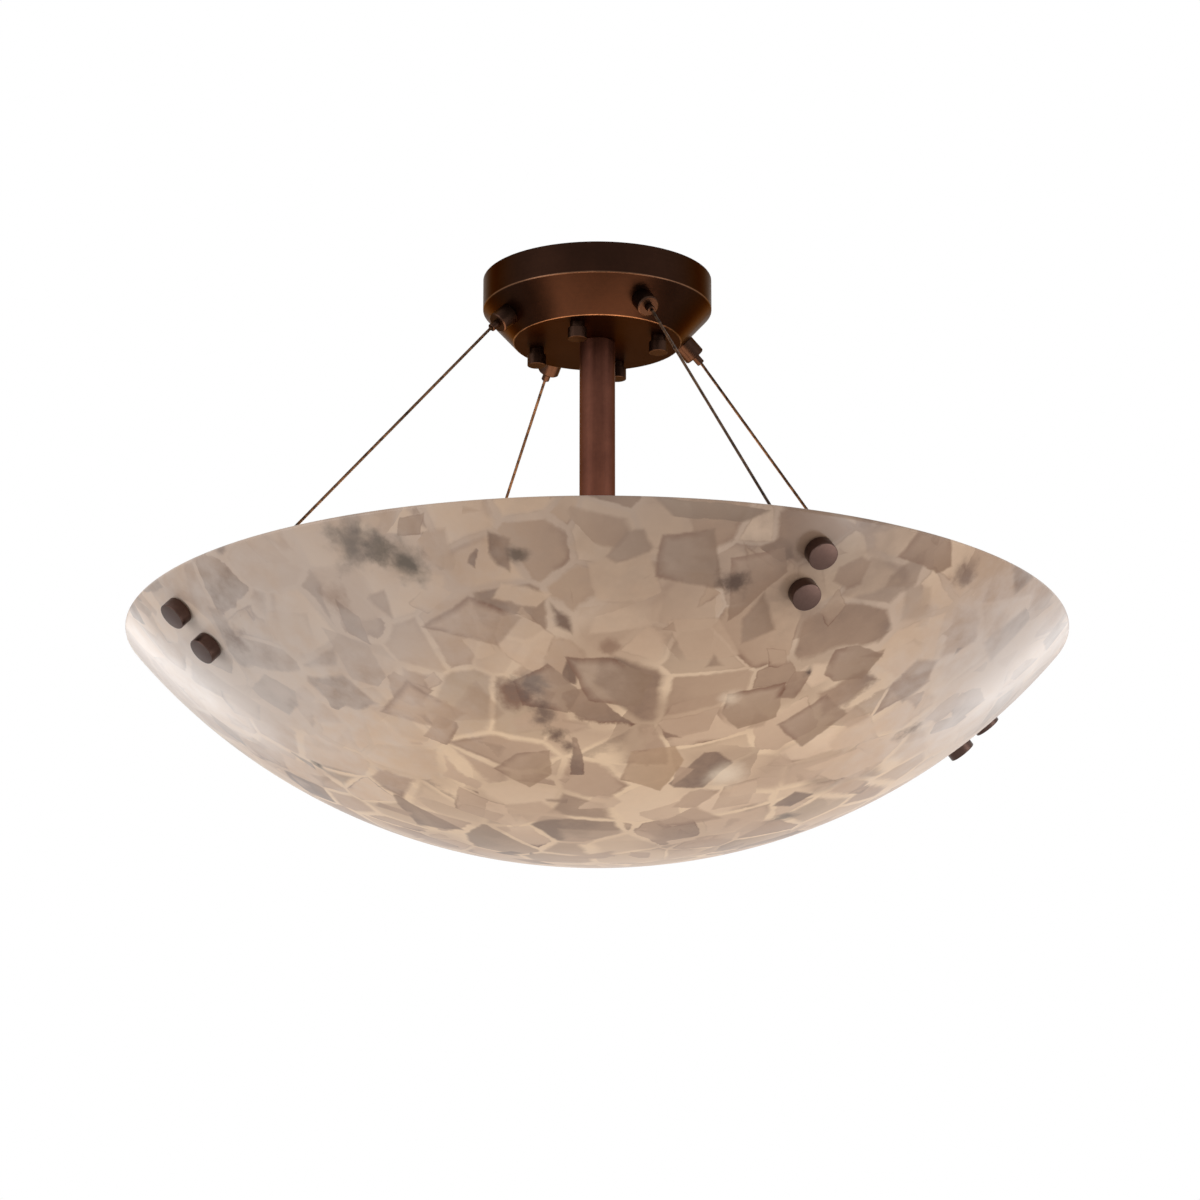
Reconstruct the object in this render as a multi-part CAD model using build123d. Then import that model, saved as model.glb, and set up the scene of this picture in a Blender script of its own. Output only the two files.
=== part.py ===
from build123d import *

import math
import os

# Semi flush ceiling light: a wide shallow bowl that hangs on four cables from a round canopy, with a
# stem and a four-lamp cluster in its middle.
#
# Millimetres. The origin is the centre of the ceiling plane and +Z is up, so the light lies below
# it. -Y faces someone who looks up at the light from the front, and +X is to that person's right.
# Heights are given as drops below the ceiling. Bearings are degrees about Z from +X.

# ---------------------------------------------------------------- driving dimensions

QUARTERS = 4
CABLE_BEARING = 27.0
LAMP_BEARING = CABLE_BEARING + 45.0
NUT_BEARING = CABLE_BEARING + 45.0

# Canopy: a spun shell with a straight wall, a cone and a flat disc underneath.
CANOPY_RADIUS = 85.1
CANOPY_WALL = 23.4
CANOPY_DISC_RADIUS = 62.3
CANOPY_DEPTH = 48.7
CANOPY_SHEET = 1.6
CANOPY_EDGE_ROUND = 0.9

# Ceiling plate inside the canopy.
PLATE_RADIUS = 60.0
PLATE_THICKNESS = 2.5
PLATE_WIRE_HOLE_RADIUS = 16.0
BOX_SCREW_SPACING = 88.9
BOX_SLOT_WIDTH = 4.8
BOX_SLOT_LENGTH = 16.0
GROUND_SCREW_RADIUS = 1.9
GROUND_SCREW_OFFSET = 30.0
GROUND_HEAD_FLATS = 8.0
GROUND_HEAD_HEIGHT = 3.0

# Studs that carry the canopy, and the cap nuts under it.
STUD_RADIUS = 2.5
STUD_CIRCLE_RADIUS = 47.5
STUD_NUT_FLATS = 8.0
STUD_NUT_HEIGHT = 4.0
CAP_NECK_RADIUS = 5.4
CAP_NECK_HEIGHT = 4.2
CAP_HEAD_RADIUS = 7.0
CAP_HEAD_HEIGHT = 8.4
CAP_BORE_DEPTH = 8.5
CAP_EDGE_ROUND = 0.4

# Cable grippers, set square on the canopy's cone. Lengths run outwards from the cone.
GRIPPER_RING_RADIUS = 72.6
GRIPPER_RADIUS = 8.0
GRIPPER_LENGTH = 13.5
GRIPPER_CHAMFER = 0.9
GRIPPER_SHANK_WALL = 0.7
GRIPPER_SHANK_LENGTH = 12.0
GRIPPER_CHAMBER_EASE = 0.65
GRIPPER_THROAT = 6.5
GRIPPER_NUT_FLATS = 15.0
GRIPPER_NUT_HEIGHT = 3.5
GRIPPER_PLUG_LENGTH = 2.0
PLUNGER_WALL = 1.65
PLUNGER_REACH = 6.7
PLUNGER_REAR = 0.5
PLUNGER_CHAMFER = 0.45
BALLS_PER_GRIPPER = 3
GRIP_BALL_RADIUS = 1.3
GRIPPER_SPRING_WIRE = 0.6

# Cables: thin wire ropes, straight from the gripper's mouth to a ball end in the bowl's bracket.
CABLE_RADIUS = 1.0
CABLE_TAIL = 18.0
CABLE_BEND_STANDOFF = 1.2
CABLE_BEND_RADIUS = 15.0
BALL_END_RADIUS = 2.5

# Bowl: a cap of a sphere with an even wall.
BOWL_SPHERE_RADIUS = 448.5
BOWL_RIM_RADIUS = 344.6
BOWL_RIM_DROP = 275.3
BOWL_THICKNESS = 8.0
BOWL_RIM_ROUND = 1.6

# Bracket and finials: one pair of finials for each cable, seated square to the bowl between them.
PAIR_BELOW_RIM = 44.64
FINIAL_SPACING = 32.0
FINIAL_RADIUS = 10.3
FINIAL_LENGTH = 10.0
FINIAL_EDGE_ROUND = 0.5
FINIAL_BORE_DEPTH = 6.5
BRACKET_END = 12.0
BRACKET_WIDTH = 20.0
BRACKET_THICKNESS = 6.0
BALL_SEAT_DEPTH = 4.0
SCREW_RADIUS = 2.5
SCREW_HEAD_RADIUS = 4.6
SCREW_HEAD_HEIGHT = 3.0
OUTER_WASHER_RADIUS = 8.6
OUTER_WASHER_THICKNESS = 0.8
INNER_WASHER_RADIUS = 7.0
INNER_WASHER_THICKNESS = 2.0

# Stem, and the threaded rod inside it that holds the cluster up.
STEM_RADIUS = 13.2
STEM_WALL = 1.5
CLUSTER_TOP_DROP = 276.0
ROD_RADIUS = 4.9
ROD_BORE_RADIUS = 3.2
ROD_HEAD = 6.5
ROD_TAIL = 2.5
ROD_NUT_FLATS = 16.0
ROD_NUT_HEIGHT = 5.0
ROD_WASHER_RADIUS = 11.0
ROD_WASHER_THICKNESS = 1.5

# Lamp cluster: a turned cup with a cover, and a terminal block that stands on the cover.
CLUSTER_RADIUS = 34.0
CLUSTER_WALL = 2.5
CLUSTER_TOP = 3.0
CLUSTER_DEPTH = 40.0
CLUSTER_EDGE_ROUND = 3.0
COVER_THICKNESS = 2.5
COVER_SKIRT_HEIGHT = 6.0
COVER_SKIRT_WALL = 2.0
COVER_EDGE_ROUND = 1.2
BLOCK_RADIUS = 12.0
BLOCK_ABOVE_AXIS = 6.0
LAMP_AXIS_DEPTH = 22.0

# Lampholders. Lengths run outwards from the light's own axis.
NIPPLE_RADIUS = 4.9
NIPPLE_BORE_RADIUS = 3.2
NIPPLE_TAIL = 1.4
NIPPLE_SHORTFALL = 3.3
NIPPLE_NUT_FLATS = 14.0
NIPPLE_NUT_HEIGHT = 3.0
SOCKET_GAP = 0.3
SOCKET_NECK_RADIUS = 12.0
SOCKET_NECK_LENGTH = 6.0
SOCKET_RADIUS = 18.0
SOCKET_FLARE_LENGTH = 7.0
SOCKET_LENGTH = 48.0
SOCKET_FLOOR = 15.0
SOCKET_LIP_ROUND = 1.2
SLEEVE_WALL = 0.6
SLEEVE_START = 2.0
SLEEVE_LENGTH = 28.0
CONTACT_WIDTH = 5.0
CONTACT_THICKNESS = 0.6
CONTACT_RISE = 3.4

# Lamps: a medium screw cap and a frosted pear-shaped bulb.
LAMP_CAP_RADIUS = 13.0
LAMP_CAP_LENGTH = 27.0
LAMP_CAP_WALL = 1.0
LAMP_BUTTON_RADIUS = 4.5
LAMP_BUTTON_HEIGHT = 1.2
LAMP_INSULATOR_RADIUS = 9.0
LAMP_INSULATOR_HEIGHT = 3.0
LAMP_LENGTH = 108.0
LAMP_BULB_RADIUS = 30.0
LAMP_NECK_STEP = 0.4
LAMP_NECK_LENGTH = 5.0
LAMP_GLASS = 1.0

# Wiring inside the rod, the canopy and the cluster.
LEAD_RADIUS = 1.1
LEAD_OFFSET = 1.5
LEAD_BEND_RADIUS = 6.0
LEAD_TURN_DROP = 16.0
LEAD_REACH = 22.0
LEAD_SEAT = 4.0
SOCKET_LEAD_RADIUS = 0.9
CONNECTOR_LENGTH = 18.0
CONNECTOR_MOUTH_RADIUS = 5.0
CONNECTOR_TIP_RADIUS = 3.2
CONNECTOR_BORE_DEPTH = 10.0

# Named clearances.
SEAT = 0.05
THREAD_CLEARANCE = 0.1
HOLE_CLEARANCE = 0.4
RUNNING_CLEARANCE = 0.05
CABLE_CLEARANCE = 0.35
BALL_CLEARANCE = 0.05
WEDGE_CLEARANCE = 0.07
WIRE_CLEARANCE = 0.2
LAMP_CLEARANCE = 0.7

FULL_TURN = 360.0
SAME_PLACE = 1e-4

# ---------------------------------------------------------------- derived places

CONE_RUN = CANOPY_RADIUS - CANOPY_DISC_RADIUS
CONE_FALL = CANOPY_DEPTH - CANOPY_WALL
CONE_DIP = math.degrees(math.atan2(CONE_RUN, CONE_FALL))
GRIPPER_DROP = CANOPY_WALL + (CANOPY_RADIUS - GRIPPER_RING_RADIUS) * CONE_FALL / CONE_RUN
PLUNGER_RADIUS = CABLE_RADIUS + CABLE_CLEARANCE + PLUNGER_WALL
PLUNGER_TIP = GRIPPER_LENGTH + PLUNGER_REACH
GRIPPER_SPRING_RADIUS = PLUNGER_RADIUS - 2 * RUNNING_CLEARANCE
GRIP_BALL_RING = CABLE_RADIUS + GRIP_BALL_RADIUS + BALL_CLEARANCE
GRIPPER_THROAT_RADIUS = PLUNGER_RADIUS + RUNNING_CLEARANCE
GRIPPER_CHAMBER_RADIUS = GRIP_BALL_RING + GRIP_BALL_RADIUS + GRIPPER_CHAMBER_EASE
GRIPPER_SHANK_RADIUS = GRIPPER_CHAMBER_RADIUS + GRIPPER_SHANK_WALL
BOWL_INNER_RADIUS = BOWL_SPHERE_RADIUS - BOWL_THICKNESS
BOWL_CENTRE_Z = math.sqrt(BOWL_SPHERE_RADIUS**2 - BOWL_RIM_RADIUS**2) - BOWL_RIM_DROP
PAIR_ANGLE = math.degrees(
    math.asin(BOWL_RIM_RADIUS / BOWL_SPHERE_RADIUS) - PAIR_BELOW_RIM / BOWL_SPHERE_RADIUS
)
BRACKET_LENGTH = FINIAL_SPACING + 2 * BRACKET_END
CLUSTER_INSIDE_RADIUS = CLUSTER_RADIUS - CLUSTER_WALL
CLUSTER_BOTTOM_DROP = CLUSTER_TOP_DROP + CLUSTER_DEPTH
LAMP_AXIS_DROP = CLUSTER_TOP_DROP + LAMP_AXIS_DEPTH
BLOCK_TOP = -LAMP_AXIS_DROP + BLOCK_ABOVE_AXIS
SOCKET_START = CLUSTER_RADIUS + SOCKET_GAP
SOCKET_FLOOR_PLACE = SOCKET_START + SOCKET_FLOOR
SOCKET_CHAMBER_RADIUS = LAMP_CAP_RADIUS + LAMP_CLEARANCE + SLEEVE_WALL + THREAD_CLEARANCE
LAMP_START = SOCKET_FLOOR_PLACE + CONTACT_THICKNESS + CONTACT_RISE + 2 * SEAT


# ---------------------------------------------------------------- small helpers


def bearings(first, count=QUARTERS):
    """Evenly spaced bearings round the light."""
    return [first + step * FULL_TURN / count for step in range(count)]


def turned(*outline):
    """A body turned about Z from its closed (radius, height) outline."""
    return revolve(Plane.XZ * make_face(Polyline(*outline, close=True)), Axis.Z)


def tube(outer, inner, start, end):
    """A plain tube about Z from one height to another."""
    return turned((inner, start), (outer, start), (outer, end), (inner, end))


def rod(radius, start, end):
    """A plain round bar about Z from one height to another."""
    return Pos(0, 0, start) * Cylinder(radius, end - start, align=(Align.CENTER, Align.CENTER, Align.MIN))


def hex_bar(flats, start, end):
    """A hexagon bar about Z between two heights."""
    return Pos(0, 0, start) * extrude(RegularPolygon(flats / 2, 6, major_radius=False), end - start)


def hex_nut(flats, bore, start, end):
    """A hexagon nut about Z between two heights."""
    return hex_bar(flats, start, end) - rod(bore, start, end)


def hex_reach(flats):
    """How far a hexagon's corners lie from its middle."""
    return flats / 2 / math.cos(math.pi / 6)


def rings(body, *places):
    """The circular edges of a body about Z that lie at the given (radius, height) places."""
    return [
        edge
        for edge in body.edges().filter_by(GeomType.CIRCLE)
        if any(
            abs(edge.radius - radius) < SAME_PLACE and abs(edge.arc_center.Z - height) < SAME_PLACE
            for radius, height in places
        )
    ]


def outward(bearing, radius, height, dip=0.0):
    """A plane whose Z points away from the light's axis and dips below level by the given angle.

    Its X is level, along the way round the light, and its Y points up the slope.
    """
    turn, fall = math.radians(bearing), math.radians(dip)
    away = Vector(math.cos(turn), math.sin(turn), 0)
    level = Vector(-math.sin(turn), math.cos(turn), 0)
    return Plane(
        origin=away * radius + Vector(0, 0, height),
        x_dir=level,
        z_dir=away * math.cos(fall) - Vector(0, 0, math.sin(fall)),
    )


def on(plane, body):
    """A body modelled about Z, moved to stand on a plane."""
    return plane.location * body


def sagitta(radius, reach):
    """How far a curved surface of this radius falls away at a distance from where it is touched."""
    return radius - math.sqrt(radius**2 - reach**2)


def save(name, *pieces):
    """Write one sub-part, of one or more separate solids."""
    solids = [solid for piece in pieces for solid in piece.solids()]
    export_step(Compound(children=solids), f"parts/{name}.step")


# ---------------------------------------------------------------- places that several pieces share


def gripper_planes():
    """One plane for each gripper, on the canopy's cone and square to it."""
    return [
        outward(bearing, GRIPPER_RING_RADIUS, -GRIPPER_DROP, CONE_DIP)
        for bearing in bearings(CABLE_BEARING)
    ]


def pair_planes():
    """One plane for each pair of finials, on the bowl's outside and square to it."""
    polar = math.radians(PAIR_ANGLE)
    radius = BOWL_SPHERE_RADIUS * math.sin(polar)
    height = BOWL_CENTRE_Z - BOWL_SPHERE_RADIUS * math.cos(polar)
    return [outward(bearing, radius, height, 90 - PAIR_ANGLE) for bearing in bearings(CABLE_BEARING)]


def lamp_planes():
    """One plane for each lamp, at the light's axis, with Z out along the lamp."""
    return [outward(bearing, 0, -LAMP_AXIS_DROP) for bearing in bearings(LAMP_BEARING)]


def stud_places():
    """The places of the canopy's studs."""
    return [
        Rot(0, 0, bearing) * Pos(STUD_CIRCLE_RADIUS, 0, 0) for bearing in bearings(NUT_BEARING)
    ]


def pair_places():
    """The two places of a bracket's screws, on a pair's plane."""
    return [Pos(0, side * FINIAL_SPACING / 2, 0) for side in (-1, 1)]


# ---------------------------------------------------------------- canopy and ceiling plate


def make_canopy():
    """The spun shell, drilled for the rod, the studs and the grippers."""
    upper_mitre = CANOPY_SHEET * math.tan(math.radians(CONE_DIP) / 2)
    lower_mitre = CANOPY_SHEET * math.tan(math.radians(90 - CONE_DIP) / 2)
    rod_hole = ROD_RADIUS + HOLE_CLEARANCE
    shell = turned(
        (rod_hole, -CANOPY_DEPTH),
        (CANOPY_DISC_RADIUS, -CANOPY_DEPTH),
        (CANOPY_RADIUS, -CANOPY_WALL),
        (CANOPY_RADIUS, 0),
        (CANOPY_RADIUS - CANOPY_SHEET, 0),
        (CANOPY_RADIUS - CANOPY_SHEET, -CANOPY_WALL + upper_mitre),
        (CANOPY_DISC_RADIUS - lower_mitre, -CANOPY_DEPTH + CANOPY_SHEET),
        (rod_hole, -CANOPY_DEPTH + CANOPY_SHEET),
    )
    corners = rings(shell, (CANOPY_RADIUS, -CANOPY_WALL), (CANOPY_DISC_RADIUS, -CANOPY_DEPTH))
    shell = fillet(corners, CANOPY_EDGE_ROUND)
    for place in stud_places():
        shell -= place * rod(STUD_RADIUS + HOLE_CLEARANCE, -CANOPY_DEPTH - CANOPY_SHEET, -CANOPY_WALL)
    for plane in gripper_planes():
        drill = rod(GRIPPER_SHANK_RADIUS + HOLE_CLEARANCE, -GRIPPER_SHANK_LENGTH, GRIPPER_LENGTH)
        shell -= on(plane, drill)
    return shell


def make_mounting_plate():
    """The round ceiling plate, with two slots for the box screws and a wire hole in its middle."""
    slots = [Pos(side * BOX_SCREW_SPACING / 2, 0) for side in (-1, 1)]
    face = Circle(PLATE_RADIUS) - Circle(PLATE_WIRE_HOLE_RADIUS)
    face -= slots * SlotOverall(BOX_SLOT_LENGTH, BOX_SLOT_WIDTH)
    face -= stud_places() * Circle(STUD_RADIUS + THREAD_CLEARANCE)
    face -= Pos(0, -GROUND_SCREW_OFFSET) * Circle(GROUND_SCREW_RADIUS + THREAD_CLEARANCE)
    return extrude(face, -PLATE_THICKNESS)


def make_ground_screw():
    """The hexagon-headed earth screw in the plate's underside."""
    head_top = -PLATE_THICKNESS - SEAT
    head = hex_bar(GROUND_HEAD_FLATS, head_top - GROUND_HEAD_HEIGHT, head_top)
    return Pos(0, -GROUND_SCREW_OFFSET, 0) * (head + rod(GROUND_SCREW_RADIUS, head_top, -SEAT))


def make_studs():
    """The threaded studs from the plate down into the cap nuts."""
    end = -CANOPY_DEPTH - CAP_BORE_DEPTH + 2 * HOLE_CLEARANCE
    return [place * rod(STUD_RADIUS, end, -SEAT) for place in stud_places()]


def make_stud_nuts():
    """The lock nuts that fix the studs under the plate."""
    top = -PLATE_THICKNESS - SEAT
    nut = hex_nut(STUD_NUT_FLATS, STUD_RADIUS + THREAD_CLEARANCE, top - STUD_NUT_HEIGHT, top)
    return [place * nut for place in stud_places()]


def make_cap_nuts():
    """The decorative nuts under the canopy: a narrow neck above a wider head, bored from above."""
    top = -CANOPY_DEPTH - SEAT
    shoulder = top - CAP_NECK_HEIGHT
    bottom = shoulder - CAP_HEAD_HEIGHT
    bore = STUD_RADIUS + THREAD_CLEARANCE
    nut = turned(
        (0, bottom),
        (CAP_HEAD_RADIUS, bottom),
        (CAP_HEAD_RADIUS, shoulder),
        (CAP_NECK_RADIUS, shoulder),
        (CAP_NECK_RADIUS, top),
        (bore, top),
        (bore, top - CAP_BORE_DEPTH),
        (0, top - CAP_BORE_DEPTH),
    )
    nut = fillet(rings(nut, (CAP_HEAD_RADIUS, bottom), (CAP_HEAD_RADIUS, shoulder)), CAP_EDGE_ROUND)
    return [place * nut for place in stud_places()]


# ---------------------------------------------------------------- cable grippers


def make_gripper_barrel():
    """Barrel and threaded shank in one, with the taper inside that wedges the balls on the cable."""
    barrel = turned(
        (GRIPPER_CHAMBER_RADIUS, -GRIPPER_SHANK_LENGTH),
        (GRIPPER_SHANK_RADIUS, -GRIPPER_SHANK_LENGTH),
        (GRIPPER_SHANK_RADIUS, SEAT),
        (GRIPPER_RADIUS, SEAT),
        (GRIPPER_RADIUS, GRIPPER_LENGTH),
        (GRIPPER_THROAT_RADIUS, GRIPPER_LENGTH),
        (GRIPPER_THROAT_RADIUS, GRIPPER_THROAT),
        (GRIPPER_CHAMBER_RADIUS, 0),
    )
    return chamfer(rings(barrel, (GRIPPER_RADIUS, GRIPPER_LENGTH)), GRIPPER_CHAMFER)


def make_gripper_nut():
    """The hexagon nut behind the canopy's cone, held off by the shell's inward curve."""
    bore = GRIPPER_SHANK_RADIUS + THREAD_CLEARANCE
    curve = sagitta(GRIPPER_RING_RADIUS - CANOPY_SHEET, hex_reach(GRIPPER_NUT_FLATS))
    face = -CANOPY_SHEET - curve - SEAT
    return hex_nut(GRIPPER_NUT_FLATS, bore, face - GRIPPER_NUT_HEIGHT, face)


def make_gripper_plug():
    """The threaded plug that closes the shank behind the spring."""
    start = -GRIPPER_SHANK_LENGTH
    outer = GRIPPER_CHAMBER_RADIUS - THREAD_CLEARANCE
    return tube(outer, CABLE_RADIUS + CABLE_CLEARANCE, start, start + GRIPPER_PLUG_LENGTH)


def ball_spots():
    """The places of the clamping balls, where the taper wedges them against the cable."""
    narrowing = GRIPPER_CHAMBER_RADIUS - GRIPPER_THROAT_RADIUS
    room = (GRIPPER_CHAMBER_RADIUS - GRIP_BALL_RING) * GRIPPER_THROAT
    held = (GRIP_BALL_RADIUS + WEDGE_CLEARANCE) * math.hypot(narrowing, GRIPPER_THROAT)
    place = (room - held) / narrowing
    return [
        Rot(0, 0, bearing) * Pos(GRIP_BALL_RING, 0, place)
        for bearing in bearings(0, BALLS_PER_GRIPPER)
    ]


def make_plunger():
    """The release plunger: a thin tube with three pockets that carry the clamping balls."""
    plunger = tube(PLUNGER_RADIUS, CABLE_RADIUS + CABLE_CLEARANCE, -PLUNGER_REAR, PLUNGER_TIP)
    plunger = chamfer(rings(plunger, (PLUNGER_RADIUS, PLUNGER_TIP)), PLUNGER_CHAMFER)
    pocket = Rot(0, 90, 0) * rod(GRIP_BALL_RADIUS + BALL_CLEARANCE, -PLUNGER_RADIUS, PLUNGER_RADIUS)
    for spot in ball_spots():
        plunger -= spot * pocket
    return plunger


def make_grip_balls():
    """The hardened balls that bite on the cable."""
    return [spot * Sphere(GRIP_BALL_RADIUS) for spot in ball_spots()]


def make_gripper_spring():
    """The spring between the rear plug and the plunger, as the plain sleeve that its coils fill."""
    start = -GRIPPER_SHANK_LENGTH + GRIPPER_PLUG_LENGTH + SEAT
    outer = GRIPPER_SPRING_RADIUS
    return tube(outer, outer - GRIPPER_SPRING_WIRE, start, -PLUNGER_REAR - SEAT)


# ---------------------------------------------------------------- cables and their ends


def ball_seat_depth():
    """How far a ball end's centre lies inside the bowl's outer surface, in its bracket's seat."""
    hole = CABLE_RADIUS + 2 * CABLE_CLEARANCE
    seat = bracket_face() + BRACKET_THICKNESS - BALL_SEAT_DEPTH / 2
    return seat - math.sqrt(BALL_END_RADIUS**2 - hole**2) - SEAT


def cable_line(gripper, pair):
    """A cable's corner points: its tail in the canopy, the gripper's mouth and its ball end."""
    tail = gripper.from_local_coords((0, 0, -CABLE_TAIL))
    mouth = gripper.from_local_coords((0, 0, PLUNGER_TIP + CABLE_BEND_STANDOFF))
    ball = pair.from_local_coords((0, 0, -ball_seat_depth()))
    return tail, mouth, ball


def make_cable(gripper, pair):
    """One wire rope: straight through its gripper, eased at the mouth and straight to its ball end."""
    tail, mouth, ball = cable_line(gripper, pair)
    end = ball + (ball - mouth).normalized() * (BALL_END_RADIUS / 2)
    path = FilletPolyline(tail, mouth, end, radius=CABLE_BEND_RADIUS)
    section = Plane(origin=tail, z_dir=mouth - tail) * Circle(CABLE_RADIUS)
    return sweep(section, path=path)


def make_ball_end(gripper, pair):
    """The ball pressed on a cable's end, bored blind for it."""
    _, mouth, ball = cable_line(gripper, pair)
    place = Plane(origin=ball, z_dir=ball - mouth)
    bore = rod(CABLE_RADIUS + SEAT, -2 * BALL_END_RADIUS, BALL_END_RADIUS / 2 + SEAT)
    return on(place, Sphere(BALL_END_RADIUS) - bore)


# ---------------------------------------------------------------- bowl, brackets and finials


def bracket_face():
    """How deep the bracket's outer face lies under the bowl's outer surface."""
    reach = FINIAL_SPACING / 2 + INNER_WASHER_RADIUS
    curve = sagitta(BOWL_INNER_RADIUS, reach)
    return BOWL_THICKNESS + curve + 2 * SEAT + INNER_WASHER_THICKNESS


def make_bowl():
    """The bowl: an even wall between two spheres, cut level at the rim and drilled for the screws."""
    inner_rim = math.sqrt(BOWL_INNER_RADIUS**2 - (BOWL_RIM_DROP + BOWL_CENTRE_Z) ** 2)
    outer_half = math.asin(BOWL_RIM_RADIUS / BOWL_SPHERE_RADIUS) / 2
    inner_half = math.asin(inner_rim / BOWL_INNER_RADIUS) / 2

    def at(radius, angle):
        """A point of the section at an angle from straight down."""
        return (radius * math.sin(angle), BOWL_CENTRE_Z - radius * math.cos(angle))

    outside = ThreePointArc(
        at(BOWL_SPHERE_RADIUS, 0),
        at(BOWL_SPHERE_RADIUS, outer_half),
        (BOWL_RIM_RADIUS, -BOWL_RIM_DROP),
    )
    inside = ThreePointArc(
        (inner_rim, -BOWL_RIM_DROP),
        at(BOWL_INNER_RADIUS, inner_half),
        at(BOWL_INNER_RADIUS, 0),
    )
    section = make_face([outside, Line(outside @ 1, inside @ 0), inside, Line(inside @ 1, outside @ 0)])
    bowl = revolve(Plane.XZ * section, Axis.Z)
    corners = rings(bowl, (BOWL_RIM_RADIUS, -BOWL_RIM_DROP), (inner_rim, -BOWL_RIM_DROP))
    bowl = fillet(corners, BOWL_RIM_ROUND)
    drill = rod(SCREW_RADIUS + HOLE_CLEARANCE, -2 * BOWL_THICKNESS, BOWL_THICKNESS)
    for plane in pair_planes():
        for place in pair_places():
            bowl -= on(plane, place * drill)
    return bowl


def make_bracket():
    """The bar inside the bowl, counterbored from behind for the cable's ball end."""
    profile = Rot(0, 0, 90) * SlotOverall(BRACKET_LENGTH, BRACKET_WIDTH)
    profile -= pair_places() * Circle(SCREW_RADIUS + HOLE_CLEARANCE)
    profile -= Circle(CABLE_RADIUS + 2 * CABLE_CLEARANCE)
    face = -bracket_face()
    bar = Pos(0, 0, face - BRACKET_THICKNESS) * extrude(profile, BRACKET_THICKNESS)
    seat = rod(BALL_END_RADIUS + HOLE_CLEARANCE, face - BALL_SEAT_DEPTH, face + SEAT)
    return bar - seat


def make_bracket_screw():
    """A pan-headed screw from inside the bracket into its finial."""
    head_top = -bracket_face() - BRACKET_THICKNESS - SEAT
    shank_end = OUTER_WASHER_THICKNESS + FINIAL_BORE_DEPTH - SEAT
    head = rod(SCREW_HEAD_RADIUS, head_top - SCREW_HEAD_HEIGHT, head_top)
    head = fillet(rings(head, (SCREW_HEAD_RADIUS, head_top - SCREW_HEAD_HEIGHT)), SCREW_HEAD_HEIGHT / 3)
    return head + rod(SCREW_RADIUS, head_top, shank_end)


def make_inner_washer():
    """The soft washer between bracket and bowl."""
    start = -bracket_face() + SEAT
    bore = SCREW_RADIUS + HOLE_CLEARANCE
    return tube(INNER_WASHER_RADIUS, bore, start, start + INNER_WASHER_THICKNESS)


def make_outer_washer():
    """The thin soft washer between bowl and finial."""
    bore = SCREW_RADIUS + HOLE_CLEARANCE
    return tube(OUTER_WASHER_RADIUS, bore, SEAT, SEAT + OUTER_WASHER_THICKNESS)


def make_finial():
    """The plain cylindrical cap outside the bowl, bored blind for its screw."""
    base = OUTER_WASHER_THICKNESS + 2 * SEAT
    tip = base + FINIAL_LENGTH - OUTER_WASHER_THICKNESS
    bore = SCREW_RADIUS + THREAD_CLEARANCE
    finial = turned(
        (bore, base),
        (FINIAL_RADIUS, base),
        (FINIAL_RADIUS, tip),
        (0, tip),
        (0, base + FINIAL_BORE_DEPTH),
        (bore, base + FINIAL_BORE_DEPTH),
    )
    return fillet(rings(finial, (FINIAL_RADIUS, tip)), FINIAL_EDGE_ROUND)


# ---------------------------------------------------------------- stem and rod


def make_stem():
    """The plain tube from the canopy's disc to the cluster's top."""
    return tube(STEM_RADIUS, STEM_RADIUS - STEM_WALL, -CLUSTER_TOP_DROP, -CANOPY_DEPTH)


def make_stem_rod():
    """The hollow threaded rod that ties canopy, stem and cluster together."""
    nut_stack = ROD_WASHER_THICKNESS + ROD_NUT_HEIGHT + 2 * SEAT
    start = -(CLUSTER_TOP_DROP + CLUSTER_TOP + nut_stack + ROD_TAIL)
    return tube(ROD_RADIUS, ROD_BORE_RADIUS, start, -CANOPY_DEPTH + CANOPY_SHEET + nut_stack + ROD_HEAD)


def make_rod_washers():
    """The washers under the rod's two nuts."""
    bore = ROD_RADIUS + THREAD_CLEARANCE
    upper = -CANOPY_DEPTH + CANOPY_SHEET + SEAT
    lower = -(CLUSTER_TOP_DROP + CLUSTER_TOP + SEAT)
    return [
        tube(ROD_WASHER_RADIUS, bore, upper, upper + ROD_WASHER_THICKNESS),
        tube(ROD_WASHER_RADIUS, bore, lower - ROD_WASHER_THICKNESS, lower),
    ]


def make_rod_nuts():
    """The two hexagon nuts that clamp the rod, in the canopy and in the cluster."""
    bore = ROD_RADIUS + THREAD_CLEARANCE
    upper = -CANOPY_DEPTH + CANOPY_SHEET + ROD_WASHER_THICKNESS + 2 * SEAT
    lower = -(CLUSTER_TOP_DROP + CLUSTER_TOP + ROD_WASHER_THICKNESS + 2 * SEAT)
    return [
        hex_nut(ROD_NUT_FLATS, bore, upper, upper + ROD_NUT_HEIGHT),
        hex_nut(ROD_NUT_FLATS, bore, lower - ROD_NUT_HEIGHT, lower),
    ]


# ---------------------------------------------------------------- lamp cluster


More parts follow.
